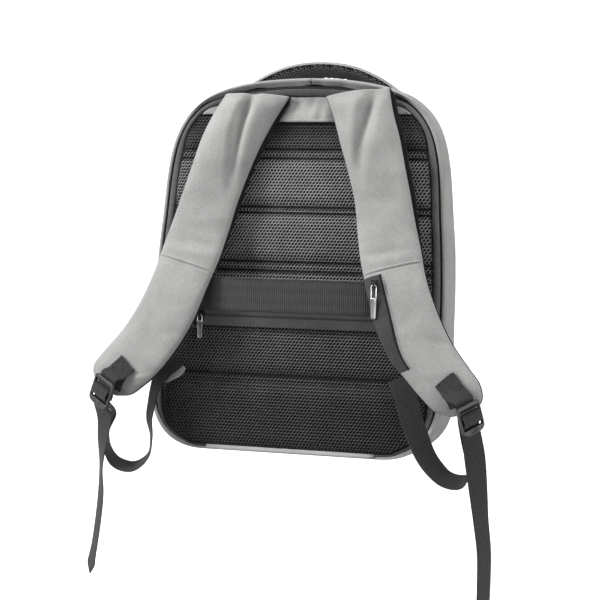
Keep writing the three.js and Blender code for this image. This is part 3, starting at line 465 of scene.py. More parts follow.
def cloth_coordinates(tree):
    uv = add_node(tree, "UVMap")
    uv.uv_map = UV_NAME
    return uv.outputs[0]


def waves(tree, vector, direction, period):
    """Even ridges across one direction of the cloth, a period apart in metres."""
    node = add_node(tree, "TexWave", Vector=vector, Scale=math.pi / 10 / period, Distortion=0.0)
    node.bands_direction = direction
    return node.outputs["Fac"]


def weave_height(tree, period):
    """Over and under threads of a plain weave."""
    uv = cloth_coordinates(tree)
    return operate(tree, "Math", "MAXIMUM", *(waves(tree, uv, axis, period) for axis in "XY"))


def two_tone(tree, share, dark, light, ends=CLOTH_RAMP):
    ramp = add_node(tree, "ValToRGB", Fac=share)
    for element, place, colour in zip(ramp.color_ramp.elements, ends, (dark, light)):
        element.position = place
        element.color = (*colour, 1)
    return ramp.outputs["Color"]


def mottled(tree, dark, light, sizes):
    """Colour that varies between two values in patches of the given sizes in metres."""
    total = 0.0
    for size in sizes:
        patch = speckle(tree, 1 / size, Detail=3.0, Roughness=0.6)
        total = operate(tree, "Math", "MULTIPLY_ADD", patch, 1 / len(sizes), total)
    return two_tone(tree, total, dark, light)


def painted_shading(tree, colour, axis, low, high, painted_shades):
    """Colour scaled by painted light and shade: shares that belong to places along an axis, in millimetres.
    """
    place = add_node(tree, "SeparateXYZ", Vector=object_place(tree)).outputs[axis]
    share = add_node(tree, "MapRange", Value=place, From_Min=low * MM, From_Max=high * MM)
    ramp = add_node(tree, "ValToRGB", Fac=share.outputs["Result"])
    first, last = ramp.color_ramp.elements
    first.color, last.color = ((value, value, value, 1) for _, value in (painted_shades[0], painted_shades[-1]))
    for level, value in painted_shades:
        ramp.color_ramp.elements.new((level - low) / (high - low)).color = (value, value, value, 1)
    return operate(tree, "VectorMath", "MULTIPLY", colour, ramp.outputs["Color"])


def cloth_material(name, tones, period, depth, sheen, roughness=0.92, painted_shades=None, sides=None):
    """Woven cloth between two tones; painted light and shade scale them by height, and painted shade by sides
    from left to right.
    """
    material, tree, shader = new_material(name)
    colour = mottled(tree, *tones, CLOTH_PATCHES)
    if painted_shades:
        colour = painted_shading(tree, colour, "Z", 0, HEIGHT, painted_shades)
    if sides:
        colour = painted_shading(tree, colour, "X", -SIDE_REACH, SIDE_REACH, sides)
    raised = relief(tree, weave_height(tree, period), depth, period * 0.35)
    fill(tree, shader, Base_Color=colour, Roughness=roughness, Sheen_Weight=sheen, Sheen_Roughness=0.5,
         Specular_IOR_Level=0.2, Normal=raised)
    return material


def webbing_material(name, tones, ribs, picks, balance=0.5):
    """Woven webbing: ribs along it and tight picks across, by their periods in metres and the ribs' share."""
    material, tree, shader = new_material(name)
    uv = cloth_coordinates(tree)
    height = blend(tree, waves(tree, uv, "X", ribs), waves(tree, uv, "Y", picks), balance)
    colour = two_tone(tree, blend(tree, height, speckle(tree, 500.0), 0.5), *tones, WEBBING_RAMP)
    fill(tree, shader, Base_Color=colour, Roughness=0.7, Sheen_Weight=0.04, Specular_IOR_Level=0.25,
         Normal=relief(tree, height, 0.7, 0.0005))
    return material


def grained_material(name, tones, size, grain, depth, **sockets):
    """Smooth stuff with a fine grain: plastic or thread."""
    material, tree, shader = new_material(name)
    raised = relief(tree, speckle(tree, grain), depth, 0.0001)
    fill(tree, shader, Base_Color=mottled(tree, *tones, (size,)), Normal=raised, **sockets)
    return material


def thread_material(name, tones):
    return grained_material(name, tones, 0.0012, 3000.0, 0.3, Roughness=0.6)


def metal_material(name, tones, gloss):
    material, tree, shader = new_material(name)
    worn = add_node(tree, "MapRange", Value=speckle(tree, 300.0), To_Min=gloss[0], To_Max=gloss[1])
    colour = mottled(tree, *tones, (0.006,))
    fill(tree, shader, Base_Color=colour, Roughness=worn.outputs["Result"], Metallic=1.0)
    return material


def greys(dark, light):
    """Two neutral tones, a touch warm and green as in the photograph."""
    return tuple((v, v * 1.012, v * 0.985) for v in (dark, light))


LOOKS = {
    "grey": cloth_material("grey_cloth", greys(0.252, 0.348), 0.0011, 0.55, 0.12),
    # Copy of the grey cloth with painted light low down and painted shade over the top
    "hem": cloth_material("hem_cloth_painted_light_and_shade", greys(0.265, 0.335), 0.0011, 0.55, 0.12, painted_shades=HEM_PAINTED_LIGHT_AND_SHADE),
    # Binding tape with painted shade over the top of the rim
    "binding": cloth_material("binding_tape", greys(0.085, 0.145), 0.0016, 0.8, 0.05, painted_shades=TAPE_PAINTED_SHADE),
    "black": cloth_material("black_cloth", greys(0.011, 0.02), 0.001, 0.5, 0.03),
    "welt": cloth_material("welt_cloth", greys(0.1, 0.15), 0.001, 0.5, 0.05),
    "flap": cloth_material("flap_cloth", greys(0.035, 0.07), 0.0012, 0.7, 0.04),
    # Air mesh with painted shade by height and painted shade at its sides
    "net": cloth_material("air_mesh_net_painted_shade", greys(0.26, 0.375), 0.0008, 0.4, 0.05, 0.75, NET_PAINTED_SHADE, NET_PAINTED_SIDE_SHADE),
    "lining_net": cloth_material("lining_net", greys(0.1, 0.15), 0.0008, 0.4, 0.05, 0.75),
    "core": cloth_material("air_mesh_core", greys(0.006, 0.013), 0.0012, 0.5, 0.02),
    "webbing": webbing_material("woven_webbing", greys(0.005, 0.036), 0.0021, 0.0013),
    "luggage": webbing_material("luggage_webbing", greys(0.017, 0.052), 0.0127, 0.0024, 0.2),
    "plastic": grained_material("buckle_plastic", greys(0.012, 0.02), 0.004, 2600.0, 0.25, Roughness=0.34,
                                Specular_IOR_Level=0.42),
    "metal": metal_material("zip_metal", greys(0.7, 0.82), (0.24, 0.34)),
    "satin": metal_material("satin_metal", greys(0.2, 0.27), (0.4, 0.5)),
    "dark_metal": metal_material("dark_metal", greys(0.03, 0.05), (0.35, 0.5)),
    "thread_grey": thread_material("grey_thread", greys(0.55, 0.68)),
    "thread_black": thread_material("black_thread", greys(0.015, 0.04)),
}


# Pieces
def add_object(name, data):
    thing = bpy.data.objects.new(name, data)
    bpy.context.scene.collection.objects.link(thing)
    return thing


def rework(mesh, change):
    """Changes a mesh by an operation on its points and faces."""
    work = bmesh.new()
    work.from_mesh(mesh)
    change(work)
    work.to_mesh(mesh)
    work.free()


def make_piece(name, shape, look, nodes=(), levels=0, body=BODY):
    """A mesh object from points in millimetres, with its look, that rides on a body of the frame."""
    verts, faces, uvs = shape
    mesh = bpy.data.meshes.new(name)
    mesh.from_pydata((np.asarray(verts) * MM).tolist(), [], faces)
    layer = mesh.uv_layers.new(name=UV_NAME)
    if uvs is not None:
        layer.data.foreach_set("uv", (np.asarray(uvs, np.float32) * MM).ravel())
    mesh.materials.append(LOOKS[look])
    rework(mesh, lambda work: bmesh.ops.recalc_face_normals(work, faces=work.faces))
    return place_piece(name, mesh, nodes, levels, body)


def place_piece(name, mesh, nodes, levels, body):
    mesh.polygons.foreach_set("use_smooth", [True] * len(mesh.polygons))
    piece = add_object(name, mesh)
    if levels:
        rounding = piece.modifiers.new("rounding", "SUBSURF")
        rounding.levels = levels
        rounding.render_levels = levels
    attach(piece, body)
    if nodes:
        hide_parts(*nodes)
    return piece


def lengths_along(grid, axis):
    steps = np.linalg.norm(np.diff(grid, axis=axis), axis=-1).mean(axis=1 - axis)
    return np.concatenate([[0], np.cumsum(steps)])


def run_of(points):
    """Distance along a route at each of its points."""
    return np.concatenate([[0], np.cumsum(np.linalg.norm(np.diff(points, axis=0), axis=1))])


def slab(upper, lower, wrapped=False):
    """Points, faces and cloth coordinates of a closed solid between two grids of points."""
    grids = np.array([upper, lower], float)
    rows, columns = grids.shape[1:3]
    closed = np.concatenate([grids[0], grids[0, :, :1]], axis=1) if wrapped else grids[0]
    across, along = lengths_along(closed, 1), lengths_along(closed, 0)
    spans = len(across) - 1
    quads = []
    for r in range(rows - 1):
        for c in range(spans):
            quads += [[(k, r, c), (k, r, c + 1), (k, r + 1, c + 1), (k, r + 1, c)] for k in (0, 1)]
        quads += [[(0, r, c), (0, r + 1, c), (1, r + 1, c), (1, r, c)] for c in (0, spans) if not wrapped]
    for c in range(spans):
        quads += [[(0, r, c), (1, r, c), (1, r, c + 1), (0, r, c + 1)] for r in (0, rows - 1)]
    grid, r, c = np.moveaxis(np.array(quads), -1, 0)
    faces = (grid * rows + r) * columns + c % columns
    return grids.reshape(-1, 3), faces.tolist(), np.stack([across[c], along[r]], axis=-1)


def ribbon(points, across, width, thick, lift=0.0, crown=0.0, shift=0.0, share=1.0, hang=0.0):
    """Webbing along a route, thin at its selvedges; its face may crown, its edges hang and its width vary."""
    points, across = np.asarray(points, float), np.asarray(across, float)
    across = squared(across, points)
    face = np.cross(unit(np.gradient(points, axis=0)), across)
    side = np.abs(2 * RIBBON_COLUMNS)
    body = thick / 2 * (1 - SELVEDGE["thin"] * side ** SELVEDGE["sharp"])
    above = body + crown * (1 - side ** SELVEDGE["crown"])
    below = body + hang * side ** SELVEDGE["hang"]
    places = shift + width * RIBBON_COLUMNS[None, :] * np.broadcast_to(share, len(points))[:, None]
    middle = points[:, None] + across[:, None] * places[..., None] + (face * lift)[:, None]
    return slab(*(middle + face[:, None] * out[None, :, None] for out in (above, -below)))


def squared(across, points):
    """Directions across a route, turned square to it."""
    ahead = unit(np.gradient(points, axis=0))
    return unit(across - ahead * (across * ahead).sum(axis=1, keepdims=True))


def along_route(points, run, place):
    return np.array([np.interp(place, run, points[:, k]) for k in range(3)]).T


def bars(name, places, look, length, radius, proud):
    """Short rounded bars that dip at their ends, each given as its middle, its direction and its normal."""
    verts, faces = [], []
    ring = [(math.cos(a), math.sin(a)) for a in np.linspace(0, 2 * math.pi, STITCH_SIDES + 1)[:-1]]
    rings = np.arange(len(STITCH_SHAPE) * STITCH_SIDES).reshape(-1, STITCH_SIDES)
    turned = np.roll(rings, -1, axis=1)
    quads = np.stack([rings[:-1], turned[:-1], turned[1:], rings[1:]], axis=-1).reshape(-1, 4)
    for middle, ahead, normal in places:
        side = np.cross(ahead, normal)
        start = len(verts)
        for share, fat, rise in STITCH_SHAPE:
            centre = middle + ahead * share * length + normal * (proud + rise * radius)
            verts.extend(centre + (side * c + normal * s) * radius * fat for c, s in ring)
        faces += (quads + start).tolist() + (rings[[0, -1]] + start).tolist()
    return make_piece(name, (verts, faces, None), look)


def stitches(name, routes, look, pitch=3.6, length=2.6, radius=0.32, proud=0.1, turned=False):
    """Rows of thread along routes of points and normals; turned bars lie across the route as zip teeth do."""
    places = []
    for points, normals in routes:
        points, normals = np.asarray(points, float), np.asarray(normals, float)
        run = run_of(points)
        count = max(int(run[-1] / pitch), 1)
        for place in (np.arange(count) + 0.5) * run[-1] / count:
            ahead = unit(along_route(points, run, place + 0.5) - along_route(points, run, place - 0.5))
            normal = unit(along_route(normals, run, place))
            normal = unit(normal - ahead * np.dot(normal, ahead))
            direction = np.cross(ahead, normal) if turned else ahead
            places.append((along_route(points, run, place), direction, normal))
    return bars(name, places, look, length, radius, proud)


def net(name, cells, surface, fit, depth=1.1, look="net"):
    """Open mesh of six-sided holes on a surface, given the flat places of its cells and how they fit in."""
    wide, tall = NET["pitch"]
    side = (tall**2 - (wide / 2) ** 2) / (2 * tall)
    half = wide / 2
    corners = [(half, side), (0, tall - side), (-half, side), (-half, -side), (0, side - tall), (half, -side)]
    holes = [(NET["hole"] * (du + NET["lean"] * dv), NET["hole"] * dv) for du, dv in corners]
    flat, heights, faces, shared = [], [], [], {}

    def add(u, v, height):
        flat.append((u, v))
        heights.append(height)
        return len(flat) - 1

    for u, v in cells:
        rim = []
        for du, dv in corners:
            key = (round((u + du) * SHARED_STEPS), round((v + dv) * SHARED_STEPS))
            if key not in shared:
                shared[key] = add(u + du, v + dv, NET["rise"])
            rim.append(shared[key])
        upper = [add(u + du, v + dv, 0.0) for du, dv in holes]
        lower = [add(u + du * NET["funnel"], v + dv * NET["funnel"], -depth) for du, dv in holes]
        for i in range(6):
            j = (i + 1) % 6
            faces.append([rim[i], rim[j], upper[j], upper[i]])
            faces.append([upper[i], upper[j], lower[j], lower[i]])
    flat, heights = np.array(flat), np.array(heights)
    flat[:, 0] += NET["skew"] * flat[:, 1]
    u, v = fit(flat[:, 0], flat[:, 1])
    return make_piece(name, (surface(u, v, heights), faces, flat[np.array(faces).ravel()]), look)


def hex_cells(u_range, v_range, keep):
    """Places of the holes that are kept, before the rows are slanted."""
    wide, tall = NET["pitch"]
    places = []
    for j in range(int((v_range[1] - v_range[0]) / tall) + 1):
        v = v_range[0] + j * tall
        slant = NET["skew"] * v
        for i in range(math.ceil((u_range[0] - slant) / wide), int((u_range[1] - slant) / wide) + 1):
            places.append(((i + 0.5 * (j % 2)) * wide, v))
    places = np.array(places)
    return places[keep(places[:, 0] + NET["skew"] * places[:, 1], places[:, 1])]


def rounded_copy(name, node, look, voxel, passes):
    """A moulded copy of a solid, with its sharp edges worn round."""
    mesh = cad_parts[node].data.copy()
    mesh.materials.clear()
    mesh.materials.append(LOOKS[look])
    rework(mesh, lambda work: bmesh.ops.remove_doubles(work, verts=work.verts, dist=1e-6))
    piece = place_piece(name, mesh, [node], 0, BODY)
    remesh = piece.modifiers.new("moulding", "REMESH")
    remesh.mode = "VOXEL"
    remesh.voxel_size = voxel * MM
    remesh.use_smooth_shade = True
    worn = piece.modifiers.new("rounding", "SMOOTH")
    worn.factor = 0.5
    worn.iterations = passes
    return piece


# Outlines of the rim
def bezier(a, b, c, d, steps):
    t = np.linspace(0, 1, steps + 1)[1:, None]
    a, b, c, d = (np.array(p, float) for p in (a, b, c, d))
    return a * (1 - t) ** 3 + 3 * b * t * (1 - t) ** 2 + 3 * c * t**2 * (1 - t) + d * t**3


def rim_outline():
    base = np.append(np.linspace(0, GUSSET["half"] - SEAM_GAP, 15), [GUSSET["half"], BASE_HALF])
    half = [np.column_stack([base, np.zeros(len(base))])]
    start = (BASE_HALF, 0)
    for (leave, arrive, end), steps in zip(RIM_CURVES, CURVE_STEPS):
        half.append(bezier(start, leave, arrive, end, steps))
        start = end
    right = np.concatenate(half)
    left = right[1:-1][::-1] * [-1, 1]
    return np.concatenate([right, left])


RIM = rim_outline()


def inset(outline, distance):
    """Moves an outline inwards by one distance, or by one for each point."""
    ahead = np.roll(outline, -1, axis=0) - np.roll(outline, 1, axis=0)
    inward = unit(np.column_stack([-ahead[:, 1], ahead[:, 0]]))
    return outline + inward * np.broadcast_to(distance, len(outline))[:, None]


def band_width(name):
    """Width of one of the rim's bands at each of its points."""
    width = RIM_BANDS["base"][name]
    for band, low, high in BAND_BLENDS:
        width = mix(width, RIM_BANDS[band][name], smooth(RIM[:, 1], low, high))
    return width


TOP_SHARE = smooth(RIM[:, 1], *TOP_BLEND)
HEM = band_width("hem")
TAPE_START = np.maximum(HEM - 1, WALL + SEAM_GAP)
BINDING_START = HEM + band_width("slit")
BINDING_END = BINDING_START + band_width("binding")
PANEL_EDGE = BINDING_END + SEAM_GAP
PAD_OUTLINE = inset(RIM, PANEL_EDGE + PAD["border"])


def half_width(outline, z):
    """Half the width of an outline at heights, with its base as wide as the lowest corner."""
    right = outline[: len(outline) // 2 + 1]
    right = right[right[:, 1] > right[0, 1] + 0.05]
    return np.interp(z, np.maximum.accumulate(right[:, 1]), right[:, 0])


# Shell
def shell_ring(ring, shrink):
    depth, width, low, high, sag = ring
    wide = width + sag * (1 - smooth(RIM[:, 1], 0, SAG_TOP))
    outline = inset(np.column_stack([RIM[:, 0] * wide, mix(low, high, RIM[:, 1] / HEIGHT)]), shrink)
    back = BACK_Y + outline[:, 1] * LEAN
    y = mix(back, FRONT_Y, depth) - shrink * min(max(depth, 0), 1) ** 3
    return np.column_stack([outline[:, 0], y, outline[:, 1]])


def hem_rows(rows):
    """Rows of the hem, which stands out evenly at the sides and gathers in puckers over the top."""
    x = RIM[:, 0]
    tuck = HEM_TOP["tuck"] * bump(x - HEM_TOP["tuck_x"], HEM_TOP["tuck_width"])
    level = HEM_OUT + TOP_SHARE * (wavy(x, HEM_WAVES) - tuck)
    width = HEM - TOP_SHARE * (HEM_TOP["drawn"] + wavy(x, EDGE_WAVES))
    turned = HEM_TOP["turned"] * TOP_SHARE
    return [at_back(*inset(RIM, width * share + shift).T, level + out - turned * turn)
            for share, shift, out, turn in rows]


def build_shell():
    rows, inner = hem_rows(HEM_FACE), hem_rows(HEM_BACK)
    for share in SHELL_SHARES:
        ring = spline(SHELL_RINGS, share)
        row = shell_ring(ring, CREASE["sunk"] * bump(ring[0] - CREASE["depth"], CREASE["width"]))
        free = smooth(ring[0], *SHELL_FREE["depth"]) * smooth(row[:, 2], *SHELL_FREE["z"])
        away = unit(row - np.array([0, 0, MIDDLE_Z]))
        rows.append(row + away * (ripples(row, "shell") * free)[:, None])
        inner.append(shell_ring(ring, WALL + SEAM_GAP))
    for rings in (rows, inner):
        last = rings[-1]
        rings += [mix(last.mean(axis=0), last, share) for share in SHELL_CLOSING]
    hem = len(HEM_FACE)
    # The hem is its own piece so that its cloth carries painted light low down and painted shade over the top
    make_piece("shell_hem", slab(rows[:hem], inner[:hem], wrapped=True), "hem")
    make_piece("shell_cloth", slab(rows[hem - 1 :], inner[hem - 1 :], wrapped=True), "grey", ["shell"])


def rim_band(name, node, keep, start, end, face, back, look, puckers=()):
    """A band along part of the rim with a face given as shares across and heights."""
    first, last = inset(RIM, start), inset(RIM, end)
    order = np.nonzero(keep)[0]
    breaks = np.nonzero(np.diff(order) > 1)[0]
    if len(breaks):
        order = np.concatenate([order[breaks[0] + 1 :], order[: breaks[0] + 1]])
    offset = (TOP_SHARE * wavy(RIM[:, 0], puckers))[order]
    places = [mix(first[order], last[order], share).T for share, _ in face]
    upper = [at_back(*place, out + offset) for place, (_, out) in zip(places, face)]
    lower = [at_back(*place, back) for place in places]
    make_piece(name, slab(np.swapaxes(upper, 0, 1), np.swapaxes(lower, 0, 1)), look, [node])


def build_rim():
    gusset = (RIM[:, 1] < SEAM_GAP) & (np.abs(RIM[:, 0]) < GUSSET["half"] - 0.1)
    rim_band("panel_binding_tape", "panel_binding", ~gusset, BINDING_START, BINDING_END, BINDING_FACE,
             BAND_BACKS["binding"], "binding", BINDING_WAVES)
    # The gusset takes the hem's cloth, with its painted light low down
    rim_band("hinge_gusset_cloth", "hinge_gusset", gusset, GUSSET["low"], GUSSET["high"], GUSSET_FACE,
             BAND_BACKS["gusset"], "hem")
    rim_band("zip_tape_cloth", "zip_tape", ~gusset, TAPE_START, BINDING_END, TAPE_FACE,
             BAND_BACKS["tape"], "black")
    line = inset(RIM, (HEM + BINDING_START) / 2)[RIM[:, 1] > COIL["low"]]
    route = facing_out(at_back(*line.T, COIL["out"]))
    stitches("zip_coil", [route], "thread_black", pitch=1.9, length=2.4, radius=0.5, turned=True)


# Back panel
def seam_distance(z):
    return np.min([np.abs(z - seam) for seam in PAD_SEAMS], axis=0)


def pad_top(x):
    """Height where the pad ends under the yoke's lower edge, which rises at the sides."""
    reach = half_width(inset(RIM, PANEL_EDGE), YOKE["low"] + YOKE["rise"])
    return PAD["high"] + YOKE["rise"] * smooth(np.abs(x) / reach, *YOKE_FALLS["rise"])


def pad_out(x, z):
    """Height of the mesh pad: puffed channels between seams, falling away at its edge and under the yoke."""
    near = seam_distance(z)
    below = pad_top(x) - z
    inside = np.minimum(half_width(PAD_OUTLINE, z) - np.abs(x), np.minimum(z - PAD["low"], below))
    puffed = mix(PAD["groove"], PAD["crown"], smooth(near, *PAD_FALLS["seam"]))
    channel = mix(PAD["edge"] + 0.6, puffed, smooth(below, *PAD_FALLS["yoke"]))
    tuck = TUCK["depth"] * bump(near - TUCK["place"], TUCK["width"])
    return mix(PAD["edge"], channel - tuck, np.sqrt(smooth(inside, *PAD_FALLS["edge"])))


def build_pad():
    heights = np.linspace(PAD["low"], PAD["high"], 181)[:, None]
    shares = np.sin(np.linspace(-1, 1, 61) * math.pi / 2)[None]
    x = half_width(PAD_OUTLINE, heights) * shares
    z = heights + (pad_top(x) - PAD["high"]) * smooth(heights, PAD_CORE["bends"], PAD["high"])
    x = half_width(PAD_OUTLINE, z) * shares
    upper = at_back(x, z, np.maximum(pad_out(x, z) - PAD_CORE["under"], PAD_CORE["under"]))
    core = make_piece("mesh_pad_core", slab(upper, at_back(x, z, PAD_CORE["base"])), "core", ["mesh_pad"])

    def keep(u, v):
        open_row = np.abs(seam_distance(v) - TUCK["place"]) > TUCK["bare"]
        return (np.abs(u) < half_width(PAD_OUTLINE, v) + 1) & (v < pad_top(u) + 1) & open_row

    def fit(u, v):
        v = np.clip(v, PAD["low"] + 0.2, pad_top(u) - 0.2)
        reach = half_width(PAD_OUTLINE, v) - 0.1
        return np.clip(u, -reach, reach), v

    cells = hex_cells((-SIDE_REACH, SIDE_REACH), (PAD["low"] + 2, PAD["high"] + YOKE["rise"]), keep)
    net("mesh_pad_net", cells, lambda u, v, h: at_back(u, v, pad_out(u, v) + h), fit)
    routes = []
    for seam in PAD_SEAMS:
        reach = half_width(PAD_OUTLINE, seam) - 3
        across = np.linspace(-reach, reach, 160)
        for level in (seam - TUCK["place"], seam + TUCK["place"]):
            level = np.full(len(across), level)
            routes.append(facing_out(at_back(across, level, pad_out(across, level))))
    stitches("mesh_pad_stitches", routes, "thread_black", pitch=4.2, length=3.2, radius=0.4, proud=-0.6)


def build_panel():
    outline = inset(RIM, PANEL_EDGE)
    places = [mix(np.array([0, MIDDLE_Z]), outline, share).T for share, _ in PANEL_ROWS]
    upper = [at_back(*place, out) for place, (_, out) in zip(places, PANEL_ROWS)]
    lower = [at_back(*place, PANEL_BACK) for place in places]
    make_piece("back_panel_cloth", slab(upper, lower, wrapped=True), "black", ["back_panel"])


def yoke_places():
    outline = inset(RIM, PANEL_EDGE)
    shares = np.linspace(0, 1, 30)
    level = mix(YOKE["low"], outline[:, 1].max() - YOKE["margin"], 1 - (1 - shares) ** YOKE["crowd"])
    rise = YOKE["rise"] * (1 - shares)
    u = np.linspace(-1, 1, 81)
    x = (half_width(outline, level + rise) - SEAM_GAP)[:, None] * u[None]
    return x, level[:, None] + rise[:, None] * smooth(np.abs(u), *YOKE_FALLS["rise"])[None]


def yoke_out(x, z):
    """Height of the yoke: a lip that stands over the pad between the straps, and soft dents."""
    above = z - YOKE["low"]
    inner = 1 - smooth(np.abs(x), *YOKE_FALLS["sides"])
    lip = YOKE["lip"] * (1 - smooth(above, *YOKE_FALLS["lip"])) * inner
    dents = ripples(at_back(x, z, 0), "yoke") * smooth(above, *YOKE_FALLS["dents"])
    return YOKE["base"] + YOKE["thick"] + lip + dents


def build_yoke():
    x, z = yoke_places()
    shape = slab(at_back(x, z, yoke_out(x, z)), at_back(x, z, YOKE["base"]))
    make_piece("yoke_cloth", shape, "grey", ["yoke"])
    x, z = x[0, 8:-8], z[0, 8:-8] + 2
    route = facing_out(at_back(x, z, yoke_out(x, z)))
    stitches("yoke_stitches", [route], "thread_grey", pitch=2.6, length=1.9, radius=0.35)


# Shoulder straps
def strap_rise(name, s, v):
    """Height of a strap's cover above its underside."""
    full = mix(STRAP["sewn"], STRAP["crown"], smooth(s, *STRAP_BLENDS["sewn"]))
    crown = mix(full, STRAP["end"], smooth(s, *STRAP_BLENDS["end"]))
    bulge = np.sqrt(np.clip(1 - np.abs(2 * v - 1) ** 3, 0, 1))
    start, drift = STRAP_VALLEYS[name]
    valley = bump(v - start + drift * s, STRAP_FOLD["width"][name])
    grown = mix(STRAP_FOLD["start"], 1, smooth(s, *STRAP_BLENDS["fold"]))
    height = STRAP_FOLD["height"] * grown * (1 - smooth(s, *STRAP_FOLD["fade"]))
    fold = height * (1 - valley) * np.sin(math.pi * v)
    return STRAP["edge"] + (crown - STRAP["edge"]) * bulge + fold


def strap_relief(name, s, v):
    """The cross seam, where the upper cloth laps over the lower, and the soft folds of the cover."""
    past = s - STRAP_SEAM["s"]
    lap = STRAP_SEAM["step"] * between(past, (-STRAP_SEAM["lap"], 0), STRAP_SEAM["edge"])
    total = lap - STRAP_SEAM["groove"] * bump(past - STRAP_SEAM["sunk"], STRAP_SEAM["sunk"])
    for along, slant, width, height, middle, reach in STRAP_FOLDS[name]:
        total = total + height * bump(s - along - slant * (v - middle), width) * bump(v - middle, reach)
    return total * np.sin(math.pi * np.clip(v, 0, 1)) ** RELIEF_EDGE


def pressed(name, s, v):
    """Share by which the sewn webbing at a strap's end flattens the cover under it."""
    at = ANCHORS[name]
    off_middle = np.abs(v - mix(at["start_v"], at["end_v"], 0.5))
    return smooth(s, at["from"] - PRESSED["lead"], at["from"]) * (1 - smooth(off_middle, *PRESSED["across"]))


def held_by_flap(s, v):
    """Share by which the flap of the strap's pocket keeps the cover smooth under it."""
    begun = smooth(s - STRAP_ZIP["from"], *FLAP_HOLD["start"])
    ended = smooth(s - STRAP_ZIP["to"], *FLAP_HOLD["end"])
    return begun * (1 - ended) * (1 - smooth(v, *FLAP_HOLD["across"]))


class Strap:
    """Places on one shoulder strap, by shares of its length and width."""

    def __init__(self, name, side):
        table = np.array(STRAP_EDGES[name], float)
        self.name = name
        self.side = side
        self.outer = at_back(side * table[:, 0], table[:, 1], table[:, 2])
        self.inner = at_back(side * table[:, 3], table[:, 4], table[:, 5])
        self.known = {}

    def section(self, s):
        """The two edges and the outward direction at a share of the length."""
        key = round(float(s), 5)
        if key not in self.known:
            low, high = max(s - 1e-4, 0), min(s + 1e-4, 1)
            ahead = sum(unit(spline(edge, high) - spline(edge, low)) for edge in (self.outer, self.inner))
            outer, inner = spline(self.outer, s), spline(self.inner, s)
            face = unit(np.cross(outer - inner, ahead))
            self.known[key] = (outer, inner, -face if face[1] > 0 else face)
        return self.known[key]

    def point(self, s, v, height):
        outer, inner, face = self.section(s)
        return mix(inner, outer, v) + face * height

    def rise(self, s, v):
        flat = pressed(self.name, s, v)
        relief_height = strap_relief(self.name, s, v) * (1 - flat) - PRESSED["depth"] * flat
        return strap_rise(self.name, s, v) + relief_height

    def grid(self, shares, columns, height):
        return np.array([[self.point(s, v, height(s, v)) for v in columns] for s in shares])

    def route(self, places, lift=0.0):
        """Points on the cover and their normals, for thread."""
        points = [self.point(s, v, self.rise(s, v) + lift) for s, v in places]
        return points, [self.section(s)[2] for s, _ in places]


def build_strap(strap):
    name = strap.name
    upper = strap.grid(STRAP_SHARES, STRAP_COLUMNS, strap.rise)
    lower = strap.grid(STRAP_SHARES, STRAP_COLUMNS, lambda s, v: 0.0)
    along, across = STRAP_SHARES[:, None], STRAP_COLUMNS[None]
    free = smooth(np.minimum(across, 1 - across), *STRAP_FREE["across"]) * smooth(along, *STRAP_FREE["along"])
    free = free * (1 - pressed(name, along, across))
    if name == "right":
        free = free * (1 - held_by_flap(along, across))
    away = np.array([strap.section(s)[2] for s in STRAP_SHARES])[:, None]
    shape = slab(upper + away * (ripples(upper, "strap", strap.side) * free)[..., None], lower)
    cover = make_piece(f"strap_cover_{name}", shape, "grey", [f"shoulder_strap_{name}"], levels=1)
    row = np.linspace(SEAM_THREAD["from"], SEAM_THREAD["to"], 40)
    route = strap.route([(STRAP_SEAM["s"] - SEAM_THREAD["back"], v) for v in row], 0.1)
    stitches(f"strap_seam_stitches_{name}", [route], "thread_grey", pitch=2.8, length=1.9, radius=0.36)
    build_lining(strap)


def build_lining(strap):
    shares = np.linspace(0, 1, 90)
    # The lining's edge shows past the strap partly as its own dark side and partly as painted shadow beside
    # the strap
    inner_lining_and_shadow, outer_lining_and_shadow = LINING_AND_SHADOW_PEEK[strap.name]
    outwards = np.where(LINING_COLUMNS > 0.5, outer_lining_and_shadow, -inner_lining_and_shadow)
    outwards = outwards * smooth(np.abs(LINING_COLUMNS - 0.5), *LINING_AND_SHADOW_PEEKS["edge"])

    def under(v):
        rounding = LINING["round"] * np.abs(2 * np.clip(v, 0, 1) - 1) ** LINING["sharp"]
        return rounding - STRAP["gap"] - STRAP["lining"]

    def row(s, height):
        places = LINING_COLUMNS + between(s, LINING_AND_SHADOW_PEEKS["begin"], LINING_AND_SHADOW_PEEKS["end"]) * outwards
        return [strap.point(s, v, height(v)) for v in places]

    shape = slab([row(s, lambda v: -STRAP["gap"]) for s in shares], [row(s, under) for s in shares])
    make_piece(f"strap_lining_core_{strap.name}", shape, "core", [f"strap_lining_{strap.name}"])
    edges = np.array([strap.section(s)[:2] for s in shares])
    run = run_of(edges.mean(axis=1))
    width = np.linalg.norm(edges[:, 0] - edges[:, 1], axis=1)

    def keep(u, v):
        return np.abs(u) < np.interp(v, run, width) / 2 - LINING["hem"]

    def fit(u, v):
        v = np.clip(v, LINING["ends"], run[-1] - LINING["ends"])
        reach = np.interp(v, run, width) / 2 - LINING["hem"] + 0.5
        return np.clip(u, -reach, reach), v

    def surface(u, v, height):
        spots = np.round(np.interp(v, run, shares), 3)
        across = 0.5 + u / np.interp(v, run, width)
        low = under(across) - 0.2 - height
        return np.array([strap.point(s, a, h) for s, a, h in zip(spots, across, low)])

    cells = hex_cells((-40, 40), (4, run[-1] - 4), keep)
    net(f"strap_lining_net_{strap.name}", cells, surface, fit, LINING["net"], "lining_net")


def zip_far(s):
    return mix(STRAP_ZIP["far"], STRAP_ZIP["end"], smooth(s, STRAP_ZIP["taper"], STRAP_ZIP["to"]))


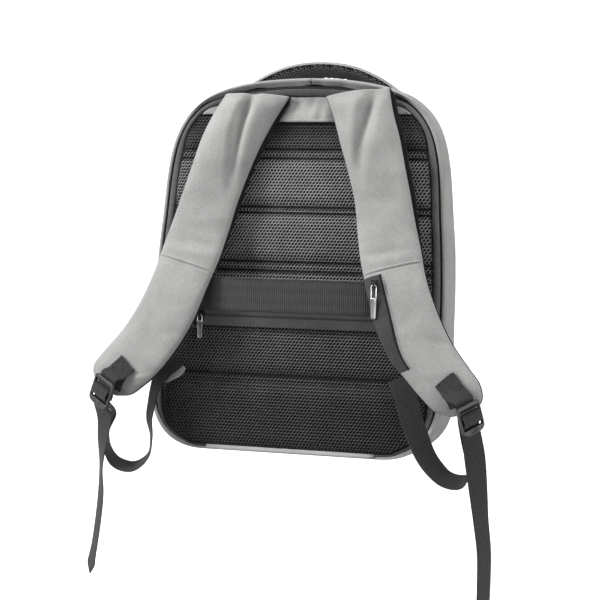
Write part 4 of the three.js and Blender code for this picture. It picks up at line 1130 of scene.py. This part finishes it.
def build_strap_zip(strap):
    """Flap of the pocket in the right strap, an open slit at its far edge and a row of thread beside it."""
    shares = np.linspace(STRAP_ZIP["from"] - 0.008, STRAP_ZIP["to"], 60)

    def flap_row(s, raised):
        row = []
        for across, puff in FLAP_FACE:
            v = mix(STRAP_ZIP["near"], zip_far(s), across)
            height = strap_rise(strap.name, s, max(v, 0.004)) + FLAP_LIFT["clear"]
            row.append(strap.point(s, v, height + puff * raised))
        return row

    def slit_row(s, lift):
        return [strap.point(s, v, strap.rise(s, v) + lift) for v in zip_far(s) + SLIT["across"]]

    flap = slab(*([flap_row(s, FLAP_LIFT[side]) for s in shares] for side in ("face", "back")))
    make_piece("strap_zip_flap", flap, "flap", ["strap_zip_band"], levels=1)
    slit = slab(*([slit_row(s, SLIT[side]) for s in shares] for side in ("face", "back")))
    make_piece("strap_zip_slit", slit, "black")
    route = strap.route([(s, zip_far(s) + SLIT["thread"]) for s in shares[2:]], 0.1)
    stitches("strap_zip_stitches", [route], "thread_black", pitch=3.0, length=1.5, radius=0.3)


# Webbing and buckles
def buckle_frame(name, side):
    at = BUCKLES[name]
    turn, tip = math.radians(at["heading"]), math.radians(at["roll"])
    flat = np.array([side * math.cos(turn), math.sin(turn), 0])
    face = np.array([side * math.sin(turn), -math.cos(turn), 0])
    along = np.array([0, 0, math.cos(tip)]) - flat * math.sin(tip)
    across = np.cross(along, face)
    return at_back(side * at["x"], at["z"], at["out"]), across * np.sign(across[0] * side), along, face


def buckle_rows(strap, route):
    """Places of webbing in a buckle, given along it and out of it."""
    centre, across, along, face = buckle_frame(strap.name, strap.side)
    return [(centre + along * a + face * out, across) for a, out in route]


def webbing_rows(side, table):
    rows = []
    for x, z, out, turn, tilt in table:
        heading, lift = math.radians(turn), math.radians(tilt)
        level = math.cos(lift)
        across = [side * level * math.cos(heading), level * math.sin(heading), math.sin(lift)]
        rows.append((at_back(side * x, z, out), np.array(across)))
    return rows


def smooth_route(rows, steps):
    count = (len(rows) - 1) * steps
    shares = [i / count for i in range(count + 1)]
    return (np.array([spline(column, t) for t in shares]) for column in zip(*rows))


def box_of_thread(points, across, normals):
    """Thread round a patch of webbing and crossed from corner to corner."""
    reach = (WEBBING["width"] / 2 - 3) * squared(across, points)
    left, right = points - reach, points + reach
    shares = np.linspace(0, 1, len(points))[:, None]
    routes = [(line, normals) for line in (left, right, mix(left, right, shares), mix(right, left, shares))]
    for end in (0, -1):
        line = np.array([mix(left[end], right[end], t) for t in np.linspace(0, 1, 8)])
        routes.append((line, np.tile(normals[end], (8, 1))))
    return routes


def build_adjuster(strap):
    """Webbing that hangs from the lower tab, loops up through the buckle and ends in a tail."""
    name, side = strap.name, strap.side
    loop, tail = (webbing_rows(side, table[name]) for table in (LOOPS, TAILS))
    points, widths = smooth_route(loop + buckle_rows(strap, BUCKLE_ROUTE) + tail, ROUTE_STEPS)
    left_over = run_of(points)[-1] - run_of(points)
    tip = TAIL_TIPS[name]
    share = np.clip(left_over / tip, 0.12, 1) if tip else 1.0
    shape = ribbon(points, widths, WEBBING["width"], WEBBING["thick"], share=share)
    make_piece(f"adjuster_weave_{name}", shape, "webbing", [f"adjuster_webbing_{name}"], levels=1)
    first = int(TAB["share"] * ROUTE_STEPS) + 1
    leaf = np.sin(np.linspace(0.12, 0.9, first) * math.pi) ** 0.35
    behind = WEBBING["thick"] / 2 + SEAM_GAP + TAB["thick"] / 2
    shape = ribbon(points[:first], widths[:first], TABS[name]["width"], TAB["thick"], -side * behind,
                   shift=-TABS[name]["inward"], share=leaf)
    make_piece(f"tab_cloth_{name}", shape, "grey", [f"lower_tab_{name}"], levels=1)
    start = points[0] + unit(points[1] - points[0]) * 3
    line = [start + widths[0] * k for k in np.linspace(-10, 10, 9)]
    normal = unit(np.cross(points[1] - points[0], widths[0]) * side)
    route = (line, np.tile(normal, (len(line), 1)))
    stitches(f"adjuster_stitches_{name}", [route], "thread_black", pitch=2.5, length=2.0, proud=0.9)


def build_return(strap):
    """The return of the anchor webbing, which lies flat on the strap under the sewn patch."""
    at = ANCHORS[strap.name]

    def row(s, lift):
        outer, inner, _ = strap.section(s)
        places = at["end_v"] + RIBBON_COLUMNS * (WEBBING["width"] - 1) / np.linalg.norm(outer - inner)
        return [strap.point(s, v, strap.rise(s, v) + lift) for v in places]

    shares = np.linspace(at["from"] + ANCHOR["lead"], ANCHOR["return"], 24)
    shape = slab(*([row(s, ANCHOR[side]) for s in shares] for side in ("face", "back")))
    make_piece(f"anchor_return_{strap.name}", shape, "webbing", levels=1)


def build_anchor(strap):
    """Webbing sewn on the strap's end and looped round the buckle's top bar."""
    name = strap.name
    at = ANCHORS[name]
    sewn, patch = [], []
    for share in np.linspace(0, 1, ANCHOR["rows"]):
        s, v = mix(at["from"], at["to"], share), mix(at["start_v"], at["end_v"], share)
        outer, inner, out = strap.section(s)
        height = strap_rise(name, s, v) + mix(ANCHOR["start"], ANCHOR["end"], share**2)
        across = unit(outer - inner)
        sewn.append((strap.point(s, v, height), across))
        patch.append((strap.point(s, v, height + WEBBING["thick"] / 2), across, out))
    route = smooth_route(sewn + buckle_rows(strap, ANCHOR_ROUTE), ROUTE_STEPS)
    shape = ribbon(*route, WEBBING["width"], WEBBING["thick"])
    make_piece(f"anchor_weave_{name}", shape, "webbing", [f"anchor_webbing_{name}"], levels=1)
    build_return(strap)
    routes = box_of_thread(*(np.array(column) for column in zip(*patch)))
    stitches(f"anchor_stitches_{name}", routes, "thread_black", pitch=2.8, length=2.2, radius=0.45)
    rounded_copy(f"buckle_{name}", f"ladder_lock_{name}", "plastic", voxel=0.5, passes=4)
    face = buckle_frame(name, strap.side)[3]
    ridges = [(*row, face) for row in buckle_rows(strap, BUCKLE_RIDGES)]
    bars(f"buckle_ridges_{name}", ridges, "plastic", length=13, radius=0.6, proud=0.0)


# Luggage strap, pocket and zips
def build_luggage():
    up = np.array([0, 0, 1.0])
    rows = [(at_back(x, LUGGAGE["z"], out), up) for x, out in both_halves(LUGGAGE_ROUTE)]
    points, widths = smooth_route(rows, 10)
    shape = ribbon(points, widths, LUGGAGE["width"], LUGGAGE["thick"])
    make_piece("luggage_weave", shape, "luggage", ["luggage_strap"], levels=1)
    normals = np.cross(unit(np.gradient(points, axis=0)), widths)
    normals *= np.sign(-normals[len(normals) // 2, 1])
    face = points + normals * LUGGAGE["thick"] / 2
    routes = [(face + up * k * LUGGAGE["width"], normals) for k in (-0.46, 0.46)]
    stitches("luggage_stitches", routes, "luggage", pitch=2.2, length=1.9, radius=0.3, proud=0.0)


def build_welt():
    heights, outs = np.array(WELT_FACE).T
    x, z = np.meshgrid(np.linspace(-WELT["half"], WELT["half"], 90), heights)
    out = WELT["face"] + outs[:, None] + ripples(at_back(x, z, 0), "welt")
    shape = slab(at_back(x, z, out), at_back(x, z, WELT["face"] - WELT["thick"]))
    make_piece("pocket_welt_cloth", shape, "welt", ["pocket_welt"])
    line = np.linspace(2 - WELT["half"], WELT["half"] - 2, 60)
    route = facing_out(at_back(line, WELT["zip"], WELT["face"] + WELT["coil"]))
    stitches("pocket_coil", [route], "thread_black", pitch=1.8, length=2.8, radius=0.5, turned=True)


def tube(points, radius):
    """Round wire along a route that lies in a plane facing the wearer."""
    ahead = unit(np.gradient(points, axis=0))
    front = np.array([0, -1.0, 0])
    ring = np.linspace(0, 2 * math.pi, 11)[:-1]
    loops = [[p + (np.cross(a, front) * math.cos(t) + front * math.sin(t)) * radius for t in ring]
             for p, a in zip(points, ahead)]
    centres = np.repeat(points[:, None], len(ring), axis=1)
    return slab(loops, mix(centres, np.array(loops), 0.2), wrapped=True)


def build_pull(name):
    """A pull: a wire loop through the slider's bail and a flat bar with raised edges below it."""
    x, z, out, length, loop = PULLS[name]
    half, thick, body = PULL["half"], PULL["thick"], f"{name}_pull"
    lean = math.atan(LEAN)
    pivot = at_back(x, z, out) + PULL["pivot"] * np.array([0, -math.cos(lean), math.sin(lean)])
    side = half - PULL["wire"]
    arch = [(side * math.cos(a), side * (math.sin(a) - 1)) for a in np.linspace(0, math.pi, 17)]
    route = np.array([(side, -loop), (side, -loop * 0.7), *arch, (-side, -loop * 0.7), (-side, -loop)])
    wire = pivot + np.insert(route, 1, 0, axis=1)
    make_piece(f"pull_wire_{name}", tube(wire, PULL["wire"]), "metal", [f"zip_pull_{name}"], body=body)
    collar = pivot + np.array([[k * half, 0, -loop] for k in (-1, -0.5, 0, 0.5, 1)])
    make_piece(f"pull_collar_{name}", tube(collar, PULL["collar"]), "metal", body=body)
    shares, fronts = np.array([(-share, rise) for share, rise in PULL_FACE[::-1]] + PULL_FACE).T
    front, back = [], []
    rows = [(-loop, 0.0), (-loop - 2, 0.0)] + [(above - length, narrowed) for above, narrowed in PULL_TIP]
    for level, narrowed in rows:
        wide = half - PULL["taper"] * (-level - loop) / (length - loop) - narrowed
        flat = pivot + np.outer(shares * wide, [1, 0, 0]) + [0, 0, level]
        front.append(flat - np.outer(fronts * thick / 2 * (1 - narrowed * 0.5), [0, 1, 0]))
        back.append(flat + [0, thick / 2 - 0.1, 0])
    make_piece(f"pull_bar_{name}", slab(front, back), "satin", body=body)


def build_zips():
    for name in ("left", "right"):
        rounded_copy(f"slider_metal_{name}", f"zip_slider_{name}", "dark_metal", voxel=0.25, passes=3)
        build_pull(name)


# Handle
def build_handle():
    tilt = HANDLE["tilt"]
    across = np.array([0, math.cos(tilt), -math.sin(tilt)])
    rows = [(np.array([x, HANDLE["y"], z]), across) for x, z in both_halves(HANDLE_ROUTE)]
    points, widths = smooth_route(rows, 10)
    lining, cover = HANDLE["lining"], HANDLE["cover"]
    lift = lining + SEAM_GAP + cover / 2
    shape = ribbon(points, widths, HANDLE["width"] + 2.4, cover, lift, crown=1.2, hang=2.2)
    make_piece("handle_cover_cloth", shape, "grey", ["handle_cover"], levels=1)
    run = run_of(points)
    normals = unit(np.cross(unit(np.gradient(points, axis=0)), across))
    reach = HANDLE["width"] / 2

    def under(u):
        return 0.4 + (lining - 1.2) * np.clip(-u / reach, 0, 1) ** 4

    places = np.linspace(-reach, reach, 25)
    middle = points[:, None] + across * places[None, :, None]
    heights = (lining, (under(places) + 0.5)[None, :, None])
    shape = slab(*(middle + normals[:, None] * height for height in heights))
    make_piece("handle_lining_core", shape, "core", ["handle_lining"])

    def fit(u, v):
        return np.clip(u, -reach, reach), np.clip(v, 4, run[-1] - 4)

    def surface(u, v, height):
        normal = unit(along_route(normals, run, v))
        return along_route(points, run, v) + across * u[:, None] + normal * (under(u) - height)[:, None]

    cells = hex_cells((-25, 25), (4, run[-1] - 4), lambda u, v: np.abs(u) < reach)
    net("handle_lining_net", cells, surface, fit, LINING["net"], "lining_net")


# Studio
def build_camera():
    yaw, pitch, roll = (math.radians(CAMERA[k]) for k in ("yaw", "pitch", "roll"))
    turns = ((yaw, "Z"), (math.pi / 2 - pitch, "X"), (roll, "Z"))
    yawed, pitched, rolled = (Matrix.Rotation(angle, 4, axis) for angle, axis in turns)
    data = bpy.data.cameras.new("photo_camera")
    data.lens = LENS["lens"]
    data.sensor_width = LENS["sensor_width"]
    camera = add_object("photo_camera", data)
    target = Matrix.Translation(Vector(CAMERA["target"]) * MM)
    back = Matrix.Translation((0, 0, CAMERA["distance"] * MM))
    camera.matrix_world = target @ yawed @ pitched @ rolled @ back
    bpy.context.scene.camera = camera


def build_lights():
    scene = bpy.context.scene
    for name, place, size, power in LIGHTS:
        data = bpy.data.lights.new(name, "AREA")
        data.size = size
        data.energy = power
        lamp = add_object(name, data)
        lamp.location = place
        lamp.rotation_euler = (AIM - Vector(place)).to_track_quat("-Z", "Y").to_euler()
    world = bpy.data.worlds.new("studio")
    world.use_nodes = True
    tree = world.node_tree
    ray = add_node(tree, "TexCoord").outputs["Generated"]
    up = add_node(tree, "SeparateXYZ", Vector=ray).outputs["Z"]
    strength = add_node(tree, "MapRange", Value=up, **WORLD).outputs["Result"]
    fill(tree, tree.nodes["Background"], Color=(1, 1, 1, 1), Strength=strength)
    scene.world = world
    scene.view_settings.view_transform = "Standard"


def build_backdrop():
    """Pale floor that curves up into a wall, lit on its own so that it stays white."""
    bend, half = FLOOR["bend"], FLOOR["half"]
    profile = [(FLOOR["front"], 0.0), (bend, 0.0)]
    profile += [(bend + math.sin(a), 1 - math.cos(a)) for a in np.linspace(0.05, math.pi / 2, 14)]
    profile.append((bend + 1, FLOOR["top"]))
    verts = [(x, y, z + FLOOR["z"]) for y, z in profile for x in (-half, half)]
    faces = [[2 * i, 2 * i + 1, 2 * i + 3, 2 * i + 2] for i in range(len(profile) - 1)]
    mesh = bpy.data.meshes.new("backdrop")
    mesh.from_pydata(verts, [], faces)
    mesh.polygons.foreach_set("use_smooth", [True] * len(mesh.polygons))
    material, tree, shader = new_material("backdrop_paper")
    colour = mottled(tree, (0.8, 0.8, 0.795), (0.84, 0.84, 0.835), (0.4,))
    fill(tree, shader, Base_Color=colour, Roughness=0.95, Emission_Color=(1, 1, 1, 1),
         Emission_Strength=FLOOR["glow"])
    mesh.materials.append(material)
    backdrop = add_object("backdrop", mesh)
    backdrop.visible_diffuse = False


build_camera()
build_lights()
build_backdrop()
build_shell()
build_rim()
build_panel()
build_pad()
build_yoke()
build_luggage()
build_welt()
STRAPS = [Strap("left", -1), Strap("right", 1)]
for strap in STRAPS:
    build_strap(strap)
    build_adjuster(strap)
    build_anchor(strap)
build_strap_zip(STRAPS[1])
build_zips()
build_handle()
